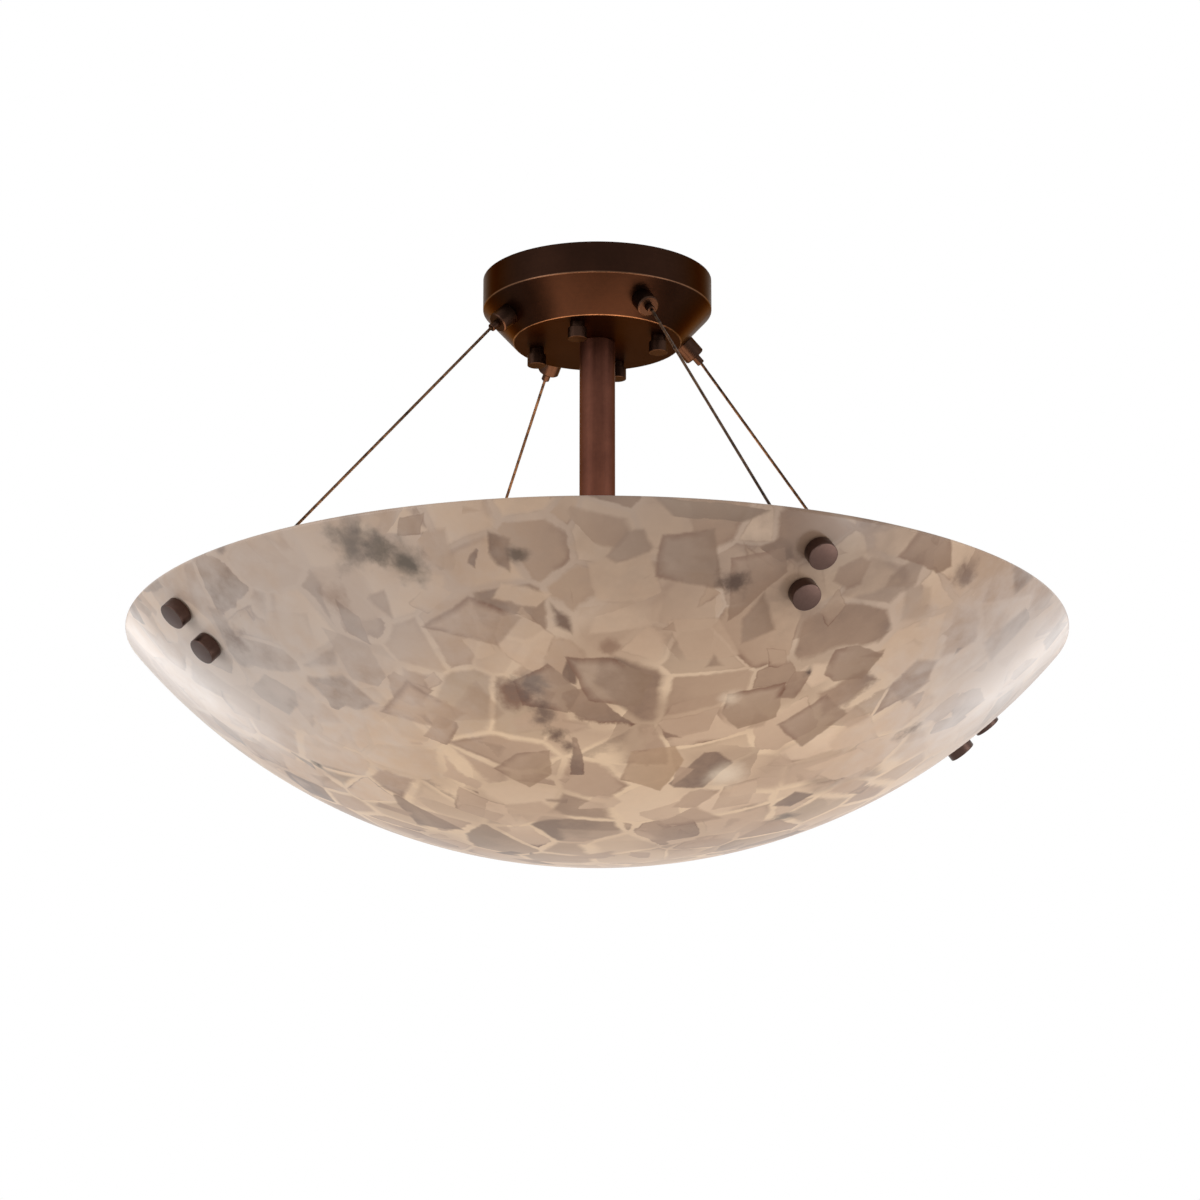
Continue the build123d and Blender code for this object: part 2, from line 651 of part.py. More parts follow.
def make_cluster_body():
    """The turned cup under the stem, open below and drilled for the rod and the nipples."""
    top, bottom = -CLUSTER_TOP_DROP, -CLUSTER_BOTTOM_DROP
    cup = turned(
        (ROD_RADIUS + HOLE_CLEARANCE, top - CLUSTER_TOP),
        (CLUSTER_INSIDE_RADIUS, top - CLUSTER_TOP),
        (CLUSTER_INSIDE_RADIUS, bottom),
        (CLUSTER_RADIUS, bottom),
        (CLUSTER_RADIUS, top),
        (ROD_RADIUS + HOLE_CLEARANCE, top),
    )
    cup = fillet(rings(cup, (CLUSTER_RADIUS, top)), CLUSTER_EDGE_ROUND)
    for plane in lamp_planes():
        cup -= on(plane, rod(NIPPLE_RADIUS + THREAD_CLEARANCE, BLOCK_RADIUS, SOCKET_START))
    return cup


def make_cluster_cover():
    """The cover that closes the cluster from below, with a skirt inside the cup's wall."""
    skirt = CLUSTER_INSIDE_RADIUS - THREAD_CLEARANCE
    top = -CLUSTER_BOTTOM_DROP - SEAT
    cover = turned(
        (0, top - COVER_THICKNESS),
        (CLUSTER_RADIUS, top - COVER_THICKNESS),
        (CLUSTER_RADIUS, top),
        (skirt, top),
        (skirt, top + COVER_SKIRT_HEIGHT),
        (skirt - COVER_SKIRT_WALL, top + COVER_SKIRT_HEIGHT),
        (skirt - COVER_SKIRT_WALL, top),
        (0, top),
    )
    return fillet(rings(cover, (CLUSTER_RADIUS, top - COVER_THICKNESS)), COVER_EDGE_ROUND)


def lead_spots():
    """The two supply leads' places across the rod's bore."""
    return [side * LEAD_OFFSET for side in (-1, 1)]


def make_terminal_block():
    """The block that joins the supply leads to the lampholders' leads, standing on the cover."""
    block = rod(BLOCK_RADIUS, -CLUSTER_BOTTOM_DROP, BLOCK_TOP)
    for spot in lead_spots():
        block -= Pos(spot, 0, 0) * rod(LEAD_RADIUS + SEAT, BLOCK_TOP - LEAD_SEAT, BLOCK_TOP + LEAD_SEAT)
    entry = rod(SOCKET_LEAD_RADIUS + SEAT, BLOCK_RADIUS - LEAD_SEAT, 2 * BLOCK_RADIUS)
    for plane in lamp_planes():
        for spot in lead_spots():
            block -= on(plane, Pos(spot, 0, 0) * entry)
    return block


def nipple_nut_end():
    """Where the nipples' nuts bear inside the cup, held off by its wall's curve."""
    return CLUSTER_INSIDE_RADIUS - sagitta(CLUSTER_INSIDE_RADIUS, hex_reach(NIPPLE_NUT_FLATS)) - SEAT


def make_nipples():
    """The short threaded tubes that carry the lampholders."""
    start = nipple_nut_end() - NIPPLE_NUT_HEIGHT - NIPPLE_TAIL
    nipple = tube(NIPPLE_RADIUS, NIPPLE_BORE_RADIUS, start, SOCKET_FLOOR_PLACE - NIPPLE_SHORTFALL)
    return [on(plane, nipple) for plane in lamp_planes()]


def make_nipple_nuts():
    """The nuts that hold the nipples inside the cup."""
    bore = NIPPLE_RADIUS + THREAD_CLEARANCE
    end = nipple_nut_end()
    nut = hex_nut(NIPPLE_NUT_FLATS, bore, end - NIPPLE_NUT_HEIGHT, end)
    return [on(plane, nut) for plane in lamp_planes()]


# ---------------------------------------------------------------- lampholders


def make_socket():
    """The porcelain lampholder: a neck, a flare and a deep round chamber for the lamp's cap."""
    end = SOCKET_START + SOCKET_LENGTH
    neck = SOCKET_START + SOCKET_NECK_LENGTH
    bore = NIPPLE_RADIUS + THREAD_CLEARANCE
    holder = turned(
        (bore, SOCKET_START),
        (SOCKET_NECK_RADIUS, SOCKET_START),
        (SOCKET_NECK_RADIUS, neck),
        (SOCKET_RADIUS, neck + SOCKET_FLARE_LENGTH),
        (SOCKET_RADIUS, end),
        (SOCKET_CHAMBER_RADIUS, end),
        (SOCKET_CHAMBER_RADIUS, SOCKET_FLOOR_PLACE),
        (bore, SOCKET_FLOOR_PLACE),
    )
    return fillet(rings(holder, (SOCKET_RADIUS, end)), SOCKET_LIP_ROUND)


def make_socket_sleeve():
    """The threaded brass sleeve that lines the lampholder."""
    outer = SOCKET_CHAMBER_RADIUS - THREAD_CLEARANCE
    start = SOCKET_FLOOR_PLACE + SLEEVE_START
    return tube(outer, outer - SLEEVE_WALL, start, start + SLEEVE_LENGTH)


def make_socket_contact():
    """The sprung centre contact: a foot on the floor, a sloping tongue and a level crest."""
    half = CONTACT_WIDTH / 2
    foot = SOCKET_CHAMBER_RADIUS - CONTACT_WIDTH
    floor = SOCKET_FLOOR_PLACE + SEAT
    crest = floor + CONTACT_RISE
    under = [(-foot, floor), (-half, floor), (half, crest), (CONTACT_WIDTH, crest)]
    over = [(across, height + CONTACT_THICKNESS) for across, height in reversed(under)]
    return extrude(Plane.YZ * make_face(Polyline(*under, *over, close=True)), half, both=True)


def make_socket_leads(plane):
    """The two leads from the terminal block through the nipple to a lampholder's floor."""
    lead = rod(SOCKET_LEAD_RADIUS, BLOCK_RADIUS - LEAD_SEAT + SEAT, SOCKET_FLOOR_PLACE)
    return [on(plane, Pos(spot, 0, 0) * lead) for spot in lead_spots()]


# ---------------------------------------------------------------- lamps


def make_lamp_cap():
    """The lamp's screw cap: contact button, insulator and hollow shell."""
    button = LAMP_START + LAMP_BUTTON_HEIGHT
    shell = button + LAMP_INSULATOR_HEIGHT
    floor = shell + LAMP_CAP_WALL
    end = LAMP_START + LAMP_CAP_LENGTH
    inside = LAMP_CAP_RADIUS - LAMP_CAP_WALL
    return turned(
        (0, LAMP_START),
        (LAMP_BUTTON_RADIUS, LAMP_START),
        (LAMP_BUTTON_RADIUS, button),
        (LAMP_INSULATOR_RADIUS, shell),
        (LAMP_CAP_RADIUS, shell),
        (LAMP_CAP_RADIUS, end),
        (inside, end),
        (inside, floor),
        (0, floor),
    )


def bulb_outline(skin):
    """Half of the bulb's section, set in by a skin, as a closed line about Z."""
    base = LAMP_START + LAMP_CAP_LENGTH
    centre = LAMP_START + LAMP_LENGTH - LAMP_BULB_RADIUS
    neck_top = base + LAMP_NECK_LENGTH
    radius = LAMP_BULB_RADIUS - skin
    neck = LAMP_CAP_RADIUS + LAMP_NECK_STEP - skin
    shoulder = Vector(radius * math.cos(math.pi / 6), centre - radius * math.sin(math.pi / 6))
    tangent = Vector(math.sin(math.pi / 6), math.cos(math.pi / 6))
    waist = Spline((neck, neck_top), shoulder, tangents=[(0, 1), tangent])
    dome = ThreePointArc(shoulder, (radius, centre), (0, centre + radius))
    return [
        Line((0, base), (neck, base)),
        Line((neck, base), (neck, neck_top)),
        waist,
        dome,
        Line((0, centre + radius), (0, base)),
    ]


def make_lamp_bulb():
    """The frosted glass bulb, open at the cap."""
    outside, inside = [
        revolve(Plane.XZ * make_face(bulb_outline(skin)), Axis.Z) for skin in (0, LAMP_GLASS)
    ]
    return outside - inside


# ---------------------------------------------------------------- wiring


def make_supply_leads():
    """The two leads from the connectors in the canopy down the rod to the terminal block."""
    foot = BLOCK_TOP - LEAD_SEAT + SEAT
    leads = []
    for spot in lead_spots():
        side = math.copysign(1, spot)
        points = [(spot, 0, foot), (spot, 0, -LEAD_TURN_DROP), (side * LEAD_REACH, 0, -LEAD_TURN_DROP)]
        path = FilletPolyline(*points, radius=LEAD_BEND_RADIUS)
        leads.append(sweep(Plane(origin=points[0]) * Circle(LEAD_RADIUS), path=path))
    return leads


def make_wire_connectors():
    """The twist-on connectors at the leads' upper ends."""
    mouth = LEAD_REACH - CONNECTOR_BORE_DEPTH + SEAT
    bore = LEAD_RADIUS + WIRE_CLEARANCE
    tip = mouth + CONNECTOR_LENGTH
    cone = turned(
        (bore, mouth),
        (CONNECTOR_MOUTH_RADIUS, mouth),
        (CONNECTOR_TIP_RADIUS, tip),
        (0, tip),
        (0, mouth + CONNECTOR_BORE_DEPTH),
        (bore, mouth + CONNECTOR_BORE_DEPTH),
    )
    return [on(outward(bearing, 0, -LEAD_TURN_DROP), cone) for bearing in (0, FULL_TURN / 2)]


# ---------------------------------------------------------------- write every sub-part


def main():
    """Build each sub-part and write it to its own file."""
    os.makedirs("parts", exist_ok=True)
    grippers, pairs, lamps = gripper_planes(), pair_planes(), lamp_planes()
    screw_places = [(plane, place) for plane in pairs for place in pair_places()]

    save("canopy", make_canopy())
    save("mounting_plate", make_mounting_plate())
    save("ground_screw", make_ground_screw())
    save("canopy_studs", *make_studs())
    save("stud_nuts", *make_stud_nuts())
    save("cap_nuts", *make_cap_nuts())

    save("gripper_barrels", *[on(plane, make_gripper_barrel()) for plane in grippers])
    save("gripper_nuts", *[on(plane, make_gripper_nut()) for plane in grippers])
    save("gripper_plugs", *[on(plane, make_gripper_plug()) for plane in grippers])
    for number, plane in enumerate(grippers, 1):
        save(f"gripper_plunger_{number}", on(plane, make_plunger()))
        save(f"gripper_balls_{number}", *[on(plane, ball) for ball in make_grip_balls()])
        save(f"gripper_spring_{number}", on(plane, make_gripper_spring()))

    for number, (gripper, pair) in enumerate(zip(grippers, pairs), 1):
        save(f"cable_{number}", make_cable(gripper, pair))
    save("cable_ball_ends", *[make_ball_end(gripper, pair) for gripper, pair in zip(grippers, pairs)])

    save("bowl", make_bowl())
    save("bowl_brackets", *[on(plane, make_bracket()) for plane in pairs])
    save("bracket_screws", *[on(plane, place * make_bracket_screw()) for plane, place in screw_places])
    save("inner_washers", *[on(plane, place * make_inner_washer()) for plane, place in screw_places])
    save("outer_washers", *[on(plane, place * make_outer_washer()) for plane, place in screw_places])
    save("bowl_finials", *[on(plane, place * make_finial()) for plane, place in screw_places])

    save("stem", make_stem())
    save("stem_rod", make_stem_rod())
    save("rod_washers", *make_rod_washers())
    save("rod_nuts", *make_rod_nuts())
    save("supply_leads", *make_supply_leads())
    save("wire_connectors", *make_wire_connectors())

    save("cluster_body", make_cluster_body())
    save("cluster_cover", make_cluster_cover())
    save("terminal_block", make_terminal_block())
    save("socket_nipples", *make_nipples())
    save("nipple_nuts", *make_nipple_nuts())
    save("socket_sleeves", *[on(plane, make_socket_sleeve()) for plane in lamps])
    save("socket_contacts", *[on(plane, make_socket_contact()) for plane in lamps])
    save("socket_leads", *[lead for plane in lamps for lead in make_socket_leads(plane)])
    for number, plane in enumerate(lamps, 1):
        save(f"socket_{number}", on(plane, make_socket()))
        save(f"lamp_cap_{number}", on(plane, make_lamp_cap()))
        save(f"lamp_bulb_{number}", on(plane, make_lamp_bulb()))


main()
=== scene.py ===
"""A semi flush ceiling light: a cast stone bowl on four wire ropes under a bronze canopy."""

import logging
import math
import random
from collections.abc import Callable, Iterable, Sequence
from dataclasses import dataclass
from enum import Enum

import bmesh
import bpy
from mathutils import Matrix, Vector


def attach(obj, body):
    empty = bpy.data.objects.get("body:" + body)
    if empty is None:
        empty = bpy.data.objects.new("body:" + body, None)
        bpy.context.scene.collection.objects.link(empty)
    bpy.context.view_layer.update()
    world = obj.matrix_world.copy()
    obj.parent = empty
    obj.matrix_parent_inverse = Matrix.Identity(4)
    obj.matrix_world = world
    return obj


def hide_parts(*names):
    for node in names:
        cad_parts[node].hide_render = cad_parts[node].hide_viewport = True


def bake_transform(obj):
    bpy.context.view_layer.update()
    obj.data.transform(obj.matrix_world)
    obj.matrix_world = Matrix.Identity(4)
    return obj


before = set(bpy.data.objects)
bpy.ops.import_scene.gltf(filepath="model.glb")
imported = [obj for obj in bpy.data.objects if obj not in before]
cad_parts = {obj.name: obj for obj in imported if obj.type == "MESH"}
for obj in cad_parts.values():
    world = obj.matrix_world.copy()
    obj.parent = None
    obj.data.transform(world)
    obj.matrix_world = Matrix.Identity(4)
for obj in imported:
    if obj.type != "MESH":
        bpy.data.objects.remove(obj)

log = logging.getLogger("ceiling_light")

ROOT_BODY = "light"
MM = 0.001
QUARTERS = 4
BOWL_RADIUS = 448.5 * MM
BOWL_CENTRE = 11.78 * MM
PAIR_ANGLE = math.radians(44.5)
CABLE_BEARING = math.radians(27.0)
DOWN = Vector((0.0, 0.0, -1.0))

Colour = tuple[float, float, float]
Point = tuple[float, float]
Place = tuple[float, float, float]

WHITE: Colour = (1.0, 1.0, 1.0)
HALF = (0.5, 0.5, 0.5)
POLE = 1e-7


def srgb(red: int, green: int, blue: int) -> Colour:
    """A display colour, 0 to 255 a channel, as scene-linear numbers."""

    def linear(channel: int) -> float:
        """One channel, by the display curve."""
        share = channel / 255
        return share / 12.92 if share <= 0.04045 else ((share + 0.055) / 1.055) ** 2.4

    return (linear(red), linear(green), linear(blue))


# ------------------------------------------------------------------ shader maths


def maths(operation: str, swapped: bool = False) -> Callable[..., "Wire"]:
    """A method of Wire for one Math operation.

    Args:
        operation: the Math node's operation.
        swapped: whether the wire comes last, as in 1 - mask.

    Returns:
        The method, which adds the node and gives its wire.
    """

    def method(wire: "Wire", *others: "Wire | float") -> "Wire":
        """Work the operation out on the wire and the other values."""
        values = (*others, wire) if swapped else (wire, *others)
        return wire.graph.add("ShaderNodeMath", {"operation": operation}, dict(enumerate(values)))

    return method


class Wire:
    """A shader socket that takes part in Python arithmetic; each operation adds its Math node."""

    __add__ = maths("ADD")
    __radd__ = maths("ADD", swapped=True)
    __sub__ = maths("SUBTRACT")
    __rsub__ = maths("SUBTRACT", swapped=True)
    __mul__ = maths("MULTIPLY")
    __rmul__ = maths("MULTIPLY", swapped=True)
    __abs__ = maths("ABSOLUTE")
    fraction = maths("FRACT")
    least = maths("MINIMUM")
    most = maths("MAXIMUM")

    def __init__(self, graph: "Graph", socket: bpy.types.NodeSocket) -> None:
        """Wrap one socket."""
        self.graph = graph
        self.socket = socket

    def other(self, output: str | int) -> "Wire":
        """Another output of the same node."""
        return Wire(self.graph, self.socket.node.outputs[output])

    def clipped(self) -> "Wire":
        """The number, kept from 0 to 1."""
        return self.most(0.0).least(1.0)

    def step(self, low: "Wire | float", high: "Wire | float") -> "Wire":
        """0 at low, 1 at high and smooth between them; low may be the larger."""
        return self.graph.add(
            "ShaderNodeMapRange",
            {"interpolation_type": "SMOOTHSTEP"},
            {"Value": self, "From Min": low, "From Max": high},
        )


class Graph:
    """The node tree of a material or a world. A single method adds every node."""

    def __init__(self, name: str, is_world: bool = False) -> None:
        """Start a material or a world with an empty tree."""
        self.owner = (bpy.data.worlds if is_world else bpy.data.materials).new(name)
        self.owner.use_nodes = True
        self.tree = self.owner.node_tree
        self.tree.nodes.clear()

    def add(
        self,
        kind: str,
        settings: dict[str, object] | None = None,
        values: dict[str | int, object] | None = None,
        output: str | int = 0,
    ) -> Wire:
        """Add one node.

        Args:
            kind: the node's type.
            settings: the node's own settings, set first; "stops" fills a colour ramp.
            values: a number, colour or Wire for each named or numbered input.
            output: the output that the result stands for.

        Returns:
            The wire of that output.
        """
        node = self.tree.nodes.new(kind)
        for name, setting in (settings or {}).items():
            if name == "stops":
                self._fill_ramp(node.color_ramp, setting)
            else:
                setattr(node, name, setting)
        for key, value in (values or {}).items():
            if isinstance(value, Wire):
                self.tree.links.new(value.socket, node.inputs[key])
            else:
                node.inputs[key].default_value = value
        return Wire(self, node.outputs[output] if node.outputs else node.inputs[0])

    @staticmethod
    def _fill_ramp(ramp: bpy.types.ColorRamp, stops: Sequence[tuple[float, Colour]]) -> None:
        """Replace a ramp's stops."""
        while len(ramp.elements) > 1:
            ramp.elements.remove(ramp.elements[-1])
        for number, (place, colour) in enumerate(stops):
            element = ramp.elements[0] if number == 0 else ramp.elements.new(place)
            element.position = place
            element.color = (*colour, 1.0)

    def place(self) -> Wire:
        """The point on the object, in metres."""
        return self.add("ShaderNodeTexCoord", output="Object")

    def parts(self, vector: Wire) -> tuple[Wire, Wire, Wire]:
        """The three numbers of a vector."""
        first = self.add("ShaderNodeSeparateXYZ", values={0: vector})
        return first, first.other(1), first.other(2)

    def join(self, x: Wire | float, y: Wire | float, z: Wire | float) -> Wire:
        """A vector of three numbers."""
        return self.add("ShaderNodeCombineXYZ", values={0: x, 1: y, 2: z})

    def vector(self, operation: str, first: Wire, *others: object, scale: object = None) -> Wire:
        """One Vector Math node; distances and dot products come out as a number."""
        values: dict[str | int, object] = dict(enumerate((first, *others)))
        if scale is not None:
            values["Scale"] = scale
        single = operation in {"DISTANCE", "DOT_PRODUCT", "LENGTH"}
        return self.add("ShaderNodeVectorMath", {"operation": operation}, values, int(single))

    def noise(self, place: Wire, size: float, detail: float = 3.0, roughness: float = 0.5) -> Wire:
        """Fractal noise, 0 to 1, whose largest features are about size metres across."""
        values = {"Vector": place, "Scale": 1 / size, "Detail": detail, "Roughness": roughness}
        return self.add("ShaderNodeTexNoise", {"noise_dimensions": "3D"}, values)

    def mix(self, share: Wire | float, first: object, second: object, blend: str = "MIX") -> Wire:
        """Two colours mixed by a share."""
        ends = [(*end, 1.0) if isinstance(end, tuple) else end for end in (first, second)]
        return self.add(
            "ShaderNodeMix",
            {"data_type": "RGBA", "blend_type": blend},
            {0: share, 6: ends[0], 7: ends[1]},
            2,
        )

    def bump(self, height: Wire, distance: float, strength: float = 1.0) -> Wire:
        """A normal from a height, 0 to 1, that stands for distance metres."""
        return self.add(
            "ShaderNodeBump", values={"Height": height, "Distance": distance, "Strength": strength}
        )

    def seen(self) -> Wire:
        """1 on rays that show a background, to the eye, in gloss and through glass, else 0."""
        path = self.add("ShaderNodeLightPath", output="Is Camera Ray")
        return path.most(path.other("Is Glossy Ray")).most(path.other("Is Transmission Ray"))

    def surface(self, **inputs: object) -> bpy.types.Material:
        """Finish the material with one Principled shader.

        Args:
            **inputs: the shader's inputs, with _ for the spaces in their names.

        Returns:
            The finished material.
        """
        values: dict[str | int, object] = {}
        for name, value in inputs.items():
            is_colour = isinstance(value, tuple) and len(value) == 3
            values[name.replace("_", " ")] = (*value, 1.0) if is_colour else value
        shader = self.add("ShaderNodeBsdfPrincipled", values=values)
        self.add("ShaderNodeOutputMaterial", values={"Surface": shader})
        return self.owner


# ------------------------------------------------------------------ finishes

BRONZE_EDGE = srgb(194, 180, 170)


class Grain(Enum):
    """The way the marks of making run on a metal."""

    SPUN = "round the light's axis"
    DRAWN = "along the light's axis"
    CAST = "every way"


@dataclass(frozen=True)
class MetalFinish:
    """A metal with soft tarnish, fine tool marks, small handling marks and painted highlight lines
    along given round edges.
    """

    name: str
    light: Colour
    dark: Colour
    roughness: float
    grain: Grain = Grain.CAST
    mottle: float = 0.03
    edge: Colour = WHITE
    # painted highlight: the round edges that get a thin light line, as a radius and a height each,
    # with the line's colour and width
    painted_highlight_rings: tuple[Point, ...] = ()
    painted_highlight_colour: Colour = srgb(128, 92, 70)
    painted_highlight_width: float = 0.9 * MM
    mark: float = 1.1 * MM
    drawn: Place = (1.0, 1.0, 0.02)
    relief: float = 0.04 * MM

    def material(self) -> bpy.types.Material:
        """Build the material."""
        graph = Graph(self.name)
        place = graph.place()
        x, y, z = graph.parts(place)
        radius = graph.vector("LENGTH", graph.join(x, y, 0.0))
        if self.grain is Grain.SPUN:
            lines = graph.join(radius, z, 0.0)
        elif self.grain is Grain.DRAWN:
            lines = graph.vector("MULTIPLY", place, self.drawn)
        else:
            lines = place
        marks = graph.noise(lines, self.mark, 4.0, 0.7)
        clouds = graph.noise(place, self.mottle, 4.0, 0.6)
        spots = graph.noise(place, self.mottle / 9)
        tarnish = (clouds * 0.55 + spots * 0.2 + marks * 0.25).step(0.25, 0.75)
        colour = graph.mix(tarnish, self.dark, self.light)
        # painted highlight: a thin pale line round each given edge, where a softened edge would
        # catch the light
        for ring, level in self.painted_highlight_rings:
            away = graph.vector("LENGTH", graph.join(radius - ring, z - level, 0.0))
            painted_highlight_line = away.step(self.painted_highlight_width, self.painted_highlight_width / 9)
            colour = graph.mix(painted_highlight_line * (clouds * 1.6 - 0.2), colour, self.painted_highlight_colour)
        return graph.surface(
            Base_Color=colour,
            Metallic=1.0,
            Roughness=self.roughness + (clouds - 0.5) * 0.10 + (marks - 0.5) * 0.12,
            Specular_Tint=self.edge,
            Normal=graph.bump(marks * 0.7 + spots * 0.3, self.relief, 0.5),
        )


@dataclass(frozen=True)
class Spot:
    """A place on the bowl's outside: its bearing, and its angle up from the lowest point."""

    bearing: float
    rise: float

    def frame(self) -> tuple[Vector, Vector, Vector]:
        """Unit vectors there: round the bowl, up its slope and square out."""
        turn, rise = math.radians(self.bearing), math.radians(self.rise)
        along = Vector((-math.sin(turn), math.cos(turn), 0.0))
        level = Vector((math.cos(turn), math.sin(turn), 0.0))
        out = level * math.sin(rise) + DOWN * math.cos(rise)
        return along, out.cross(along), out

    def point(self) -> Vector:
        """The place itself."""
        return Vector((0.0, 0.0, BOWL_CENTRE)) + self.frame()[2] * BOWL_RADIUS


@dataclass(frozen=True)
class Stain:
    """A mineral patch in the bowl's stone; the same shape, soft and broad, also lays painted
    reflections and painted shade.
    """

    spot: Spot
    reach: float
    depth: float
    colour: Colour
    ragged: float = 2.4


@dataclass(frozen=True)
class Shard:
    """One noticeable shard: its size along and across its lean, and its colour."""

    spot: Spot
    length: float
    width: float
    lean: float
    colour: Colour
    crust: float = 0.5
    seed: int = 0

    def sides(self) -> list[tuple[Vector, float]]:
        """The shard's straight sides.

        Returns:
            For each side a vector whose dot product with a place from the shard's middle is 1 on
            the side, and the side's own share of that.
        """
        along, up, _ = self.spot.frame()
        lean = math.radians(self.lean)
        first = (along * math.cos(lean) + up * math.sin(lean)) / (self.length / 2 * MM)
        second = (up * math.cos(lean) - along * math.sin(lean)) / (self.width / 2 * MM)
        chance = random.Random(self.seed * 101 + round(self.spot.bearing * 10))
        count = chance.choice((4, 5, 5, 6))
        start = chance.random()
        sides = []
        for number in range(count):
            turn = math.tau * (number + start + chance.uniform(-0.30, 0.30)) / count
            side = first * math.cos(turn) + second * math.sin(turn)
            sides.append((side, chance.uniform(0.62, 1.0)))
        return sides


class Laying(Enum):
    """The way a layer's shards lie."""

    PACKED = "side by side, with thin seams of resin between them"
    LOOSE = "apart, each its own block"


@dataclass(frozen=True)
class ShardLayer:
    """One depth of stone shards in the resin."""

    laying: Laying
    size: float
    offset: tuple[float, float, float]
    reach: tuple[float, float]
    blur: tuple[float, float]
    cover: tuple[float, float]
    shades: tuple[float, float]
    rust: float
    fade: float = 0.5


def shard_rows(*rows: tuple[float, ...]) -> tuple[Shard, ...]:
    """Shards from rows of bearing, rise, length, width, lean, red, green, blue and crust."""
    return tuple(
        Shard(Spot(bearing, rise), length, width, lean, srgb(*colour), crust, seed)
        for seed, (bearing, rise, length, width, lean, *colour, crust) in enumerate(rows, 1)
    )


def stain_rows(*rows: tuple[float, ...]) -> tuple[Stain, ...]:
    """Stains from rows of bearing, rise, reach, depth, red, green, blue and raggedness."""
    return tuple(
        Stain(Spot(bearing, rise), reach, depth, srgb(red, green, blue), *ragged)
        for bearing, rise, reach, depth, red, green, blue, *ragged in rows
    )


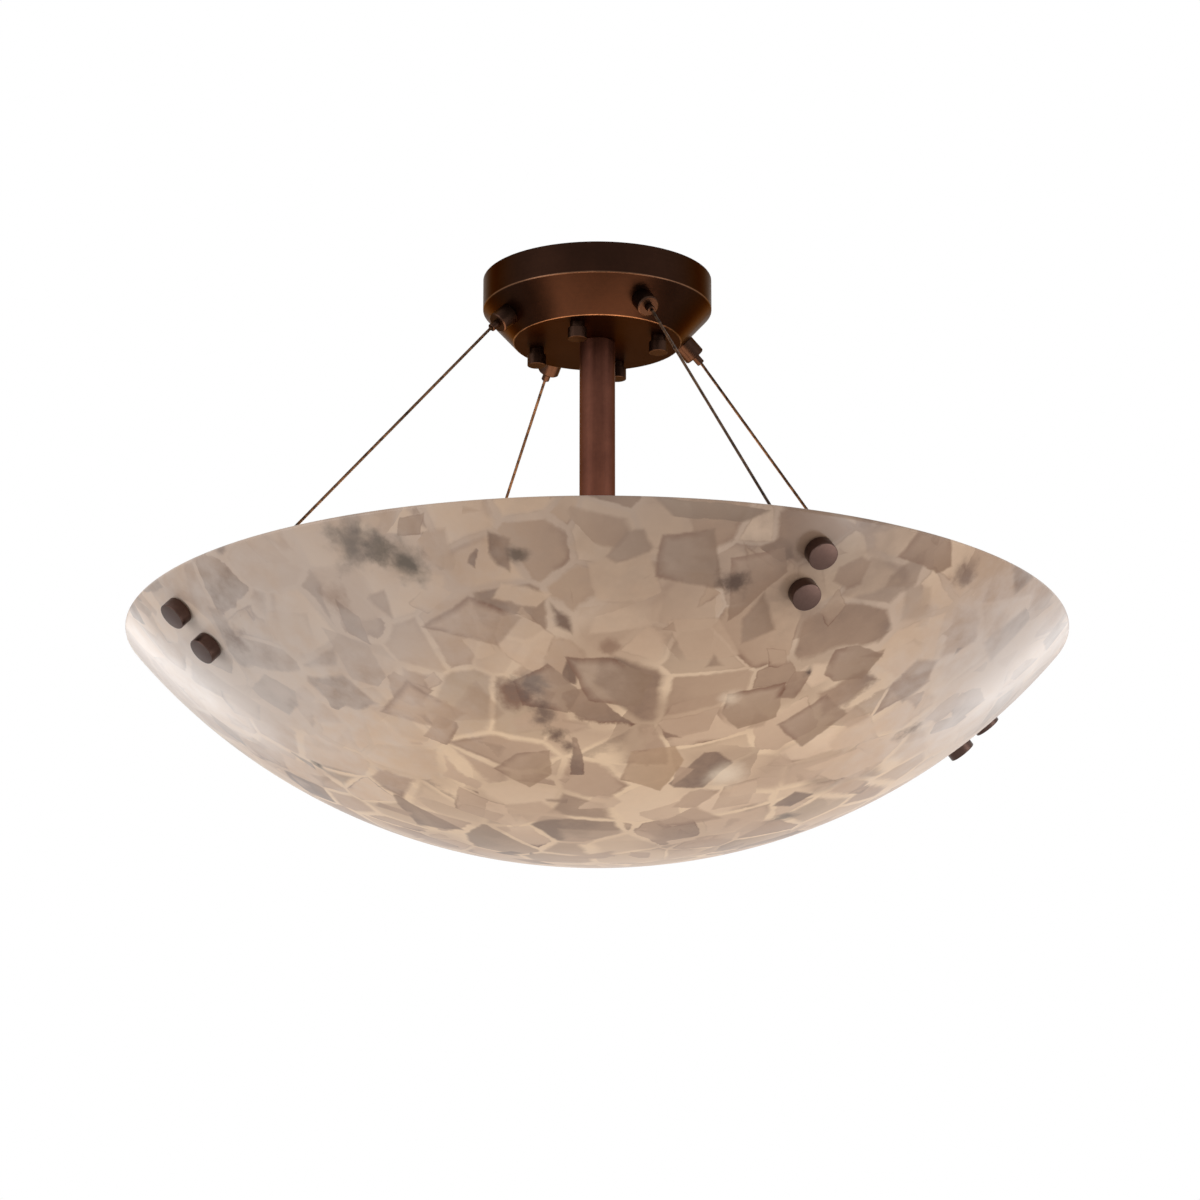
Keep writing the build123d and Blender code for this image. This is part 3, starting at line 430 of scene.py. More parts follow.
@dataclass(frozen=True)
class CastStoneFinish:
    """Polished resin, cast round angular shards of translucent stone, with a painted glow towards
    the bottom that stands in for the lamps' light through the bowl.
    """

    name: str = "cast_stone"
    roughness: float = 0.30
    resin_low_painted_glow: Colour = srgb(224, 204, 180)
    resin_high_painted_shade: Colour = srgb(196, 178, 164)
    rust: Colour = srgb(112, 76, 58)
    layers: tuple[ShardLayer, ...] = (
        ShardLayer(
            *(Laying.LOOSE, 0.085, (3.1, 7.7, 1.9), (0.42, 0.62)),
            *((0.20, 0.35), (0.40, 0.70), (0.3, 0.9), 0.0),
        ),
        ShardLayer(
            *(Laying.PACKED, 0.044, (1.7, 4.6, 8.1), (0.004, 0.10)),
            *((0.03, 0.12), (0.45, 0.95), (0.1, 1.0), 1.0),
        ),
        ShardLayer(
            *(Laying.LOOSE, 0.058, (6.4, 0.9, 3.3), (0.22, 0.44)),
            *((0.02, 0.10), (0.30, 0.90), (0.1, 1.0), 0.8),
        ),
        ShardLayer(
            *(Laying.LOOSE, 0.036, (2.9, 5.3, 7.1), (0.20, 0.40)),
            *((0.03, 0.12), (0.00, 0.90), (0.2, 1.0), 0.8),
        ),
    )
    shards: tuple[Shard, ...] = shard_rows(
        (261.0, 30.2, 50, 46, 23, 162, 137, 119, 0.9),
        (272.3, 31.2, 56, 46, -26, 156, 131, 111, 0.8),
        (299.8, 29.8, 54, 46, 22, 164, 137, 115, 1.0),
        (311.7, 36.0, 54, 36, 14, 152, 125, 105, 0.7),
        (325.7, 36.5, 42, 46, 35, 148, 121, 103, 0.6),
        (273.4, 45.6, 40, 32, 35, 158, 134, 116, 0.4),
        (280.6, 45.1, 50, 48, 15, 150, 125, 106, 0.8),
        (290.2, 44.3, 46, 36, 7, 160, 133, 113, 0.6),
        (311.9, 47.9, 54, 36, -3, 150, 121, 100, 0.6),
        (292.8, 38.8, 40, 34, 82, 152, 126, 106, 0.5),
        (253.0, 38.1, 70, 34, -6, 178, 151, 130, 1.0),
        (237.3, 29.3, 60, 44, 6, 186, 157, 133, 1.0),
        (313.2, 29.3, 46, 44, 29, 154, 126, 105, 0.8),
        (284.0, 19.3, 64, 46, -11, 184, 153, 123, 0.6),
        (252.0, 20.1, 44, 50, -51, 174, 145, 120, 0.6),
        (284.0, 49.4, 92, 15, 0, 144, 123, 105, 0.3),
    )
    # broad tints of painted light: pale painted reflections of the side lights on the left end, the
    # upper left and the right end, and painted shade near the rim at the front
    painted_light_tints: tuple[Stain, ...] = stain_rows(
        (204.0, 38.0, 0.150, 0.62, 214, 204, 198, 0.9),
        (231.0, 43.0, 0.170, 0.50, 202, 187, 177, 0.9),
        (299.0, 48.0, 0.090, 0.50, 120, 98, 84, 0.9),
        (275.0, 50.0, 0.110, 0.35, 146, 127, 114, 0.9),
        (344.0, 42.0, 0.145, 0.62, 212, 201, 195, 0.9),
    )
    stains: tuple[Stain, ...] = stain_rows(
        (246.0, 45.0, 0.020, 0.92, 98, 88, 78, 1.6),
        (243.4, 46.2, 0.016, 0.80, 110, 98, 86, 2.0),
        (240.0, 47.4, 0.024, 0.80, 108, 98, 90, 1.8),
        (234.3, 42.4, 0.012, 0.45, 134, 102, 84),
        (213.1, 42.0, 0.016, 0.55, 120, 96, 84),
        (260.7, 44.2, 0.009, 0.85, 96, 80, 68),
        (287.6, 42.8, 0.013, 0.90, 84, 64, 54),
        (256.0, 29.6, 0.017, 0.80, 116, 80, 62),
        (259.0, 30.6, 0.016, 0.60, 102, 92, 88),
        (259.6, 27.2, 0.014, 0.80, 96, 74, 64),
        (261.0, 24.6, 0.010, 0.85, 88, 62, 50),
        (263.0, 23.2, 0.010, 0.85, 88, 62, 50),
        (261.3, 18.5, 0.009, 0.70, 132, 96, 72),
        (272.8, 35.0, 0.010, 0.55, 120, 84, 64),
        (319.2, 47.8, 0.015, 0.65, 100, 74, 62),
        (338.2, 31.5, 0.012, 0.70, 96, 70, 58),
        (352.7, 17.3, 0.013, 0.75, 76, 56, 48),
        (305.0, 34.5, 0.006, 0.90, 70, 54, 48),
        (196.7, 27.4, 0.006, 0.90, 60, 46, 42),
        (306.8, 19.6, 0.020, 0.60, 244, 226, 204, 0.8),
        (293.5, 30.0, 0.011, 0.60, 242, 222, 198, 0.8),
    )
    tones: tuple[tuple[float, Colour], ...] = (
        (0.00, srgb(222, 202, 182)),
        (0.20, srgb(204, 182, 162)),
        (0.45, srgb(186, 163, 144)),
        (0.70, srgb(170, 146, 128)),
        (0.90, srgb(146, 123, 107)),
        (1.00, srgb(120, 99, 87)),
    )
    # painted glow: its warm tint, its strength and the heights over which it fades in, with paler
    # resin low down and darker resin near the rim
    painted_glow_colour: Colour = srgb(255, 232, 204)
    haze: Colour = srgb(198, 180, 168)
    painted_glow_strength: float = 0.20
    painted_glow_foot: Point = (-0.315, -0.400)
    ripple: float = 0.6 * MM

    def material(self) -> bpy.types.Material:
        """Build the material."""
        graph = Graph(self.name)
        place = graph.place()
        bent = self._bent(graph, place)
        mottle = graph.noise(place, 0.026, 5.0, 0.62)
        rust = graph.noise(place, 0.045, 4.0, 0.6).step(0.44, 0.62)
        _, _, height = graph.parts(place)
        # painted glow mask: 1 low on the bowl and 0 higher up; it makes the resin paler and the
        # glow stronger there
        low = height.step(*self.painted_glow_foot)
        colour = graph.mix(low, self.resin_high_painted_shade, self.resin_low_painted_glow)
        for layer in self.layers:
            colour = self._laid(graph, bent, colour, layer, mottle, rust)
        for shard in self.shards:
            colour = self._placed(graph, bent, colour, shard, mottle)
        grit = graph.noise(place, 0.005)
        shade = 0.98 + (mottle - 0.5) * 0.22 + (grit - 0.5) * 0.06
        toned = graph.join(shade, shade * 0.91, shade * 0.83)
        colour = graph.mix(1.0, colour, toned, "MULTIPLY")
        haze = graph.noise(place, 0.17, 2.0).step(0.48, 0.80)
        colour = graph.mix(haze * 0.25, colour, self.haze)
        colour = self._stained(graph, place, colour, self.painted_light_tints)
        colour = self._stained(graph, bent, colour, self.stains)
        # painted glow: the stone's colour, tinted warm, glows faintly all over and most low down,
        # standing in for the lamps' light coming through the resin
        painted_glow_colour = graph.mix(1.0, colour, self.painted_glow_colour, "MULTIPLY")
        return graph.surface(
            Base_Color=colour,
            Roughness=self.roughness + (mottle - 0.5) * 0.12,
            Specular_IOR_Level=0.28,
            Emission_Color=graph.mix(low * 0.75 + 0.25, (0.0, 0.0, 0.0), painted_glow_colour),
            Emission_Strength=self.painted_glow_strength,
            Normal=graph.bump(graph.noise(place, 0.045, 2.0), self.ripple, 0.35),
        )

    def _bent(self, graph: Graph, place: Wire) -> Wire:
        """The place, shifted so that straight shard edges come out bowed and slightly jagged."""
        for size, detail, shift in ((0.11, 1.0, 0.022), (0.010, 4.0, 0.0040)):
            noise = graph.noise(place, size, detail, 0.62).other("Color")
            away = graph.vector("SUBTRACT", noise, HALF)
            place = graph.vector("MULTIPLY_ADD", away, (shift, shift, shift), place)
        return place

    def _laid(
        self, graph: Graph, bent: Wire, under: Wire, layer: ShardLayer, mottle: Wire, rust: Wire
    ) -> Wire:
        """Lay one depth of shards over what is under it.

        Args:
            graph: the material's graph.
            bent: the shifted place.
            under: the colour so far.
            layer: the layer's sizes.
            mottle: the stone's cloudiness.
            rust: where the brown seams are.

        Returns:
            The new colour.
        """
        scaled = graph.vector("SCALE", bent, scale=1 / layer.size)
        cells = graph.vector("ADD", scaled, layer.offset)
        near = {"feature": "F1", "voronoi_dimensions": "3D"}
        here = {"Vector": cells, "Scale": 1.0}
        middle = graph.add("ShaderNodeTexVoronoi", near, here, "Position")
        chance = middle.other("Color")
        local = graph.vector("SUBTRACT", cells, middle)
        one, two, three = graph.parts(chance)
        first, spread = layer.reach[0], layer.reach[1] - layer.reach[0]
        if layer.laying is Laying.PACKED:
            apart = {"feature": "DISTANCE_TO_EDGE", "voronoi_dimensions": "3D"}
            edge = graph.add("ShaderNodeTexVoronoi", apart, here)
            inside = edge - (first + one * two * spread) * mottle.step(0.30, 0.62)
        else:
            turn = graph.vector("SCALE", chance, scale=math.tau)
            turned = graph.add(
                "ShaderNodeVectorRotate",
                {"rotation_type": "EULER_XYZ"},
                {"Vector": local, "Rotation": turn},
            )
            x, y, z = graph.parts(turned)
            inside = (first + one * spread) - abs(x + y * 0.35)
            inside = inside.least((first + two * spread) - abs(y - z * 0.3))
            inside = inside.least((first + three * spread) - abs(z + x * 0.4))
            inside = inside.least(layer.reach[1] - (x * 0.7 + y * 0.5 - z * 0.5))
        blur = layer.blur[0] + three * (layer.blur[1] - layer.blur[0])
        cover = layer.cover[0] + two.step(0.10, 0.60) * (layer.cover[1] - layer.cover[0])
        tone = (one * 2.3 + two * 3.1 + three * 1.7).fraction()
        slope = graph.vector("DOT_PRODUCT", local, graph.vector("SUBTRACT", chance, HALF))
        low, high = layer.shades
        shade = low + tone * (high - low) + (mottle - 0.5) * 0.45 + slope * layer.fade
        stone = graph.add("ShaderNodeValToRGB", {"stops": self.tones}, {0: shade.clipped()})
        if layer.rust:
            seam = abs(inside - 0.015).step(0.035, 0.0) * 0.8
            seam = seam + inside.step(0.15, 0.0) * slope.step(0.02, 0.09) * 0.8
            stone = graph.mix((seam * rust * layer.rust).least(1.0), stone, self.rust)
        return graph.mix(inside.step(0.0, blur) * cover, under, stone)

    def _placed(self, graph: Graph, bent: Wire, under: Wire, shard: Shard, mottle: Wire) -> Wire:
        """Lay one noticeable shard over what is under it."""
        local = graph.vector("SUBTRACT", bent, tuple(shard.spot.point()))
        depth = graph.vector("DOT_PRODUCT", local, tuple(shard.spot.frame()[2]))
        inside = 1.0 - abs(depth) * 30.0
        for side, share in shard.sides():
            gap = share - graph.vector("DOT_PRODUCT", local, tuple(side))
            inside = inside.least(gap)
        pale = tuple(channel + (1.0 - channel) * 0.14 for channel in shard.colour)
        dim = tuple(channel * 0.80 for channel in shard.colour)
        stone = graph.mix((gap * 0.45 + (mottle - 0.5) * 1.2).clipped(), dim, pale)
        crust = inside.step(0.34, 0.0) * (mottle + gap * 0.22).step(0.62, 0.82) * shard.crust
        stone = graph.mix(crust, stone, self.rust)
        blur = random.Random(shard.seed).choice((0.07, 0.12, 0.22))
        return graph.mix(inside.step(0.0, blur) * (0.55 + mottle * 0.5), under, stone)

    def _stained(self, graph: Graph, place: Wire, colour: Wire, stains: Sequence[Stain]) -> Wire:
        """Add mineral patches, or broad tints of painted reflection and painted shade."""
        speckle = graph.noise(place, 0.016, 4.0, 0.55) - 0.5
        for stain in stains:
            away = graph.vector("DISTANCE", place, tuple(stain.spot.point()))
            patch = (away * (1 / stain.reach) + speckle * stain.ragged).step(1.10, 0.1)
            colour = graph.mix(patch * stain.depth, colour, stain.colour)
        return colour


@dataclass(frozen=True)
class RopeFinish:
    """Bronzed steel wire rope: bright on the crowns of the wires and dark between them."""

    name: str = "wire_rope"

    def material(self) -> bpy.types.Material:
        """Build the material."""
        graph = Graph(self.name)
        place = graph.place()
        wear = graph.noise(place, 0.004)
        run = graph.noise(place, 0.05, 2.0)
        share = (wear * 0.6 + run * 0.4).step(0.35, 0.65)
        colour = graph.mix(share, srgb(44, 31, 23), srgb(104, 77, 56))
        rough = 0.32 + (wear - 0.5) * 0.2
        return graph.surface(Base_Color=colour, Metallic=1.0, Roughness=rough)


@dataclass(frozen=True)
class MouldedFinish:
    """A moulded or fired piece with a fine surface, such as porcelain, plastic or rubber."""

    name: str
    light: Colour
    dark: Colour
    roughness: float
    grain: float = 0.0012
    relief: float = 0.00003
    coat: float = 0.0

    def material(self) -> bpy.types.Material:
        """Build the material."""
        graph = Graph(self.name)
        place = graph.place()
        clouds = graph.noise(place, 0.02, 4.0)
        fine = graph.noise(place, self.grain)
        colour = graph.mix((clouds * 0.7 + fine * 0.3).step(0.3, 0.7), self.dark, self.light)
        return graph.surface(
            Base_Color=colour,
            Roughness=self.roughness + (clouds - 0.5) * 0.14,
            Coat_Weight=self.coat,
            Coat_Roughness=0.08,
            Normal=graph.bump(fine, self.relief, 0.4),
        )


@dataclass(frozen=True)
class FrostedGlassFinish:
    """Frosted lamp glass, lit from inside at a low level."""

    name: str = "frosted_glass"

    def material(self) -> bpy.types.Material:
        """Build the material."""
        graph = Graph(self.name)
        place = graph.place()
        frost = graph.noise(place, 0.0016)
        cloud = graph.noise(place, 0.025)
        white = graph.mix(cloud, srgb(214, 208, 194), srgb(228, 223, 211))
        return graph.surface(
            Base_Color=white,
            Roughness=0.42 + (cloud - 0.5) * 0.15,
            Emission_Color=graph.mix(cloud, srgb(255, 214, 160), srgb(255, 232, 196)),
            Emission_Strength=0.38,
            Normal=graph.bump(frost, 0.00003, 0.4),
        )


class Finishes:
    """Every finish of the light, made once."""

    def __init__(self) -> None:
        """Build the materials."""

        def metal(name: str, *looks: object, **more: object) -> bpy.types.Material:
            """A metal's material."""
            return MetalFinish(name, *looks, **more).material()

        def moulded(name: str, *looks: object, **more: object) -> bpy.types.Material:
            """The material of a moulded or fired piece."""
            return MouldedFinish(name, *looks, **more).material()

        dark_edge = {"edge": BRONZE_EDGE}
        # painted highlight lines on the canopy's two edges, wall to cone and cone to disc
        rings = ((85.1 * MM, -23.4 * MM), (62.3 * MM, -48.7 * MM))
        spun = {"grain": Grain.SPUN, "painted_highlight_rings": rings, **dark_edge}
        self.canopy_bronze = metal(
            "canopy_bronze", srgb(46, 28, 20), srgb(36, 22, 16), 0.33, **spun
        )
        self.stem_bronze = metal(
            "stem_bronze", srgb(96, 60, 48), srgb(78, 47, 38), 0.42, Grain.DRAWN, **dark_edge
        )
        self.nut_bronze = metal(
            "nut_bronze", srgb(62, 43, 34), srgb(50, 35, 28), 0.36, mottle=0.02, **dark_edge
        )
        self.finial_bronze = metal(
            "finial_bronze", srgb(94, 74, 67), srgb(78, 60, 54), 0.34, mottle=0.02
        )
        self.zinc = metal("zinc", srgb(196, 198, 200), srgb(150, 152, 156), 0.34)
        self.brass = metal("brass", srgb(222, 180, 98), srgb(168, 124, 62), 0.30)
        self.lamp_cap = metal("lamp_cap", srgb(214, 214, 216), srgb(172, 172, 176), 0.30)
        self.stone = CastStoneFinish().material()
        self.rope = RopeFinish().material()
        self.glass = FrostedGlassFinish().material()
        self.porcelain = moulded(
            "porcelain", srgb(226, 222, 212), srgb(212, 207, 195), 0.30, coat=0.6
        )
        self.rubber = moulded("soft_washer", srgb(58, 54, 51), srgb(34, 32, 31), 0.62)
        self.insulation = moulded("lead_insulation", srgb(48, 47, 48), srgb(28, 28, 29), 0.48)
        self.connector = moulded("connector", srgb(206, 108, 44), srgb(176, 84, 32), 0.42)


# ------------------------------------------------------------------ mesh helpers


def mesh_object(
    name: str, mesh: bpy.types.Mesh, material: bpy.types.Material
) -> bpy.types.Object:
    """Link a new object at the origin.

    Args:
        name: the piece's name.
        mesh: its mesh, already in place.
        material: its finish.

    Returns:
        The object.
    """
    piece = bpy.data.objects.new(name, mesh)
    mesh.materials.clear()
    mesh.materials.append(material)
    bpy.context.scene.collection.objects.link(piece)
    return piece


def smooth(mesh: bpy.types.Mesh, crease: float = 32.0) -> None:
    """Shade a mesh smooth, and keep the edges sharper than crease degrees."""
    form = bmesh.new()
    form.from_mesh(mesh)
    limit = math.radians(crease)
    for face in form.faces:
        face.smooth = True
    for edge in form.edges:
        edge.smooth = len(edge.link_faces) != 2 or edge.calc_face_angle(0.0) < limit
    form.to_mesh(mesh)
    form.free()


def rounded(points: Sequence[Point], radii: dict[int, float], steps: int = 6) -> list[Point]:
    """Round some corners of an outline.

    Args:
        points: the outline's points.
        radii: a radius for the number of each corner to round.
        steps: how many steps each round takes.

    Returns:
        The new points.
    """
    made: list[Point] = []
    for number, point in enumerate(points):
        radius = radii.get(number)
        if radius is None:
            made.append(point)
            continue
        corner = Vector(point)
        before = (Vector(points[number - 1]) - corner).normalized()
        after = (Vector(points[(number + 1) % len(points)]) - corner).normalized()
        half = before.angle(after) / 2
        middle = corner + (before + after).normalized() * (radius / math.sin(half))
        start = corner + before * (radius / math.tan(half)) - middle
        end = corner + after * (radius / math.tan(half)) - middle
        sweep = start.angle_signed(end)
        for step in range(steps + 1):
            turn = -sweep * step / steps
            made.append(tuple(middle + Matrix.Rotation(turn, 2) @ start))
    return made


def lathe(name: str, outline: Sequence[Point], sides: int) -> bpy.types.Mesh:
    """Turn an outline about Z.

    Args:
        name: the mesh's name.
        outline: (radius, height) points in metres; radius 0 is a pole.
        sides: how many sides the round takes.

    Returns:
        A closed mesh whose faces point outwards.
    """
    form = bmesh.new()
    turns = [math.tau * side / sides for side in range(sides)]
    rings: list[list[bmesh.types.BMVert]] = []
    for radius, height in outline:
        spots = [(radius * math.cos(turn), radius * math.sin(turn), height) for turn in turns]
        is_pole = radius < POLE
        rings.append([form.verts.new(spot) for spot in (spots[:1] if is_pole else spots)])
    for low, high in zip(rings, rings[1:]):
        for side in range(sides):
            follow = (side + 1) % sides
            corners = [ring[number % len(ring)] for ring, number in (
                (low, side), (low, follow), (high, follow), (high, side)
            )]
            form.faces.new(list(dict.fromkeys(corners)))
    bmesh.ops.recalc_face_normals(form, faces=form.faces)
    mesh = bpy.data.meshes.new(name)
    form.to_mesh(mesh)
    form.free()
    return mesh


def merged(name: str, meshes: Iterable[bpy.types.Mesh]) -> bpy.types.Mesh:
    """One mesh of several."""
    form = bmesh.new()
    for mesh in meshes:
        form.from_mesh(mesh)
    made = bpy.data.meshes.new(name)
    form.to_mesh(made)
    form.free()
    return made


def baked(piece: bpy.types.Object) -> bpy.types.Mesh:
    """Work out the plain mesh that a piece's modifiers make, and remove them."""
    bpy.context.view_layer.update()
    graph = bpy.context.evaluated_depsgraph_get()
    mesh = bpy.data.meshes.new_from_object(piece.evaluated_get(graph))
    piece.modifiers.clear()
    return mesh


def dress(material: bpy.types.Material, *nodes: str) -> None:
    """Give carried-over CAD nodes a finish."""
    for node in nodes:
        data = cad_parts[node].data
        data.materials.clear()
        data.materials.append(material)


def settle(piece: bpy.types.Object, body: str, slot: str, *nodes: str) -> None:
    """Ride a new piece on its body and hide the CAD nodes that it stands for."""
    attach(piece, body)
    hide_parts(*nodes)
    log.info("%s: %d faces on %s", piece.name, len(piece.data.polygons), body)


# ------------------------------------------------------------------ geometry nodes


class Tree:
    """A geometry node tree with named inputs for its counts, its sizes and its finish."""

    def __init__(self, name: str, counts: Sequence[str], sizes: Sequence[str]) -> None:
        """Start the tree and name its inputs."""
        self.group = bpy.data.node_groups.new(name, "GeometryNodeTree")
        self.inputs = self.group.nodes.new("NodeGroupInput")
        self.outputs = self.group.nodes.new("NodeGroupOutput")
        self._socket("Geometry", "NodeSocketGeometry")
        self._socket("Geometry", "NodeSocketGeometry", "OUTPUT")
        for count in counts:
            self._socket(count, "NodeSocketInt")
        for size in sizes:
            self._socket(size, "NodeSocketFloat")
        self._socket("Material", "NodeSocketMaterial")

    def _socket(self, name: str, kind: str, side: str = "INPUT") -> None:
        """Add one named input or output."""
        self.group.interface.new_socket(name, in_out=side, socket_type=kind)

    def size(self, name: str) -> bpy.types.NodeSocket:
        """The socket of a named input."""
        return self.inputs.outputs[name]

    def add(
        self, kind: str, values: dict[str | int, object] | None = None, **settings: object
    ) -> bpy.types.NodeSocket:
        """Add one node, its settings first, and give its first output.

        Args:
            kind: the node's type.
            values: a number or a socket to link for each named or numbered input.
            **settings: the node's own settings.

        Returns:
            The socket of the first output.
        """
        node = self.group.nodes.new(kind)
        for name, setting in settings.items():
            setattr(node, name, setting)
        for key, value in (values or {}).items():
            if isinstance(value, bpy.types.NodeSocket):
                self.group.links.new(value, node.inputs[key])
            else:
                node.inputs[key].default_value = value
        return node.outputs[0]

    def math(self, operation: str, *values: object) -> bpy.types.NodeSocket:
        """One Math node."""
        return self.add("ShaderNodeMath", dict(enumerate(values)), operation=operation)

    def vector(self, x: object, y: object, z: object) -> bpy.types.NodeSocket:
        """A vector of three numbers."""
        return self.add("ShaderNodeCombineXYZ", {0: x, 1: y, 2: z})

    def finish(self, geometry: bpy.types.NodeSocket) -> None:
        """End the tree in Realize Instances and Set Material."""
        real = self.add("GeometryNodeRealizeInstances", {"Geometry": geometry})
        values = {"Geometry": real, "Material": self.size("Material")}
        self.group.links.new(self.add("GeometryNodeSetMaterial", values), self.outputs.inputs[0])

    def finish_tubes(self, curves: bpy.types.NodeSocket, radius: str, sides: object) -> None:
        """Sweep a round section along curves, cap the ends and end the tree."""
        values = {"Resolution": sides, "Radius": self.size(radius)}
        section = self.add("GeometryNodeCurvePrimitiveCircle", values, mode="RADIUS")
        values = {"Curve": curves, "Profile Curve": section, "Fill Caps": True}
        self.finish(self.add("GeometryNodeCurveToMesh", values))

    def run(self, piece: bpy.types.Object, sizes: dict[str, object]) -> bpy.types.Mesh:
        """Run the tree on a piece with these sizes, and give the plain mesh that it makes."""
        modifier = piece.modifiers.new(self.group.name, "NODES")
        modifier.node_group = self.group
        for item in self.group.interface.items_tree:
            if item.item_type == "SOCKET" and item.in_out == "INPUT" and item.name in sizes:
                modifier[item.identifier] = sizes[item.name]
        return baked(piece)

    def piece(
        self, name: str, source: bpy.types.ID, sizes: dict[str, object], place: Matrix
    ) -> bpy.types.Object:
        """Run the tree on a source that isn't kept.

        Args:
            name: the new piece's name.
            source: the mesh or curve that the tree starts from.
            sizes: the tree's inputs.
            place: where the result goes.

        Returns:
            A new, smoothly shaded object.
        """
        start = bpy.data.objects.new(name + "_source", source)
        bpy.context.scene.collection.objects.link(start)
        mesh = self.run(start, sizes)
        bpy.data.objects.remove(start)
        mesh.name = name
        mesh.transform(place)
        for face in mesh.polygons:
            face.use_smooth = True
        return mesh_object(name, mesh, sizes["Material"])


def ring_tree() -> Tree:
    """The tree that sets copies of a piece round the light, each tilted outwards."""
    tree = Tree("set_round_the_light", ["Count"], ["Bearing", "Ring Radius", "Height", "Tilt"])
    count, radius = tree.size("Count"), tree.size("Ring Radius")
    values = {"Count": count, "Offset": (0.0, 0.0, 0.0)}
    points = tree.add("GeometryNodeMeshLine", values, mode="OFFSET")
    share = tree.math("DIVIDE", tree.add("GeometryNodeInputIndex"), count)
    turn = tree.math("MULTIPLY_ADD", share, math.tau, tree.size("Bearing"))
    across = tree.math("MULTIPLY", tree.math("COSINE", turn), radius)
    along = tree.math("MULTIPLY", tree.math("SINE", turn), radius)
    spot = tree.vector(across, along, tree.size("Height"))
    placed = tree.add("GeometryNodeSetPosition", {"Geometry": points, "Position": spot})
    lean = tree.vector(0.0, tree.size("Tilt"), turn)
    turned = tree.add("FunctionNodeEulerToRotation", {0: lean})
    values = {"Points": placed, "Instance": tree.size("Geometry"), "Rotation": turned}
    tree.finish(tree.add("GeometryNodeInstanceOnPoints", values))
    return tree


def rope_tree() -> Tree:
    """The tree that lays strands along a path: one straight core and the rest wound about it."""
    sizes = ["Strand Radius", "Lay Radius", "Lay Length", "Bend Radius", "Step"]
    grips = ["Grip Length", "Grip Ease", "Grip"]
    tree = Tree("laid_strands", ["Strands", "Sides", "Bend Steps"], sizes + grips)
    values = {
        "Curve": tree.size("Geometry"),
        "Count": tree.size("Bend Steps"),
        "Radius": tree.size("Bend Radius"),
    }
    eased = tree.add("GeometryNodeFilletCurve", values, mode="POLY")
    values = {"Curve": eased, "Length": tree.size("Step")}
    fine = tree.add("GeometryNodeResampleCurve", values, mode="LENGTH")
    values = {"Geometry": fine, "Amount": tree.size("Strands")}
    copies = tree.add("GeometryNodeDuplicateElements", values, domain="SPLINE")
    values = {"Geometry": copies, "Name": "strand", "Value": copies.node.outputs[1]}
    stored = tree.add(
        "GeometryNodeStoreNamedAttribute", values, data_type="INT", domain="CURVE"
    )
    number = tree.add("GeometryNodeInputNamedAttribute", {"Name": "strand"}, data_type="INT")
    along = tree.add("GeometryNodeSplineParameter").node.outputs["Length"]
    turns = tree.math("DIVIDE", along, tree.size("Lay Length"))
    start = tree.math("DIVIDE", number, tree.size("Strands"))
    values = {
        "Vector": tree.add("GeometryNodeInputNormal"),
        "Axis": tree.add("GeometryNodeInputTangent"),
        "Angle": tree.math("MULTIPLY", tree.math("ADD", turns, start), math.tau),
    }
    wound = tree.add("ShaderNodeVectorRotate", values, rotation_type="AXIS_ANGLE")
    gripped = tree.size("Grip Length")
    values = {
        "Value": along,
        "From Min": gripped,
        "From Max": tree.math("ADD", gripped, tree.size("Grip Ease")),
        "To Min": tree.size("Grip"),
        "To Max": 1.0,
    }
    grip = tree.add("ShaderNodeMapRange", values)
    radius = tree.math("MULTIPLY", tree.size("Lay Radius"), grip)
    out = tree.add("ShaderNodeVectorMath", {0: wound, "Scale": radius}, operation="SCALE")
    laid = tree.add("GeometryNodeSetPosition", {"Geometry": stored, "Offset": out})
    both = tree.add("GeometryNodeJoinGeometry", {0: laid})
    tree.group.links.new(fine, both.node.inputs[0])
    tree.finish_tubes(both, "Strand Radius", tree.size("Sides"))
    return tree


def coil_tree() -> Tree:
    """The tree that winds a round wire into a coil spring standing on the origin."""
    tree = Tree(
        "coil", ["Steps", "Sides"], ["Coil Radius", "Wire Radius", "Height", "Turns"]
    )
    values = {
        "Resolution": tree.size("Steps"),
        "Rotations": tree.size("Turns"),
        "Start Radius": tree.size("Coil Radius"),
        "End Radius": tree.size("Coil Radius"),
        "Height": tree.size("Height"),
    }
    spiral = tree.add("GeometryNodeCurveSpiral", values)
    tree.finish_tubes(spiral, "Wire Radius", tree.size("Sides"))
    return tree


# ------------------------------------------------------------------ sub-assemblies


@dataclass
class Canopy:
    """The canopy, its cap nuts and what holds it to the ceiling."""

    finishes: Finishes

    def dress(self) -> None:
        """Give the canopy's CAD nodes their finishes."""
        dress(self.finishes.canopy_bronze, "canopy")
        dress(self.finishes.nut_bronze, "cap_nuts")
        dress(self.finishes.zinc, "mounting_plate", "canopy_studs", "stud_nuts")
        dress(self.finishes.brass, "ground_screw")
        log.info("canopy dressed")


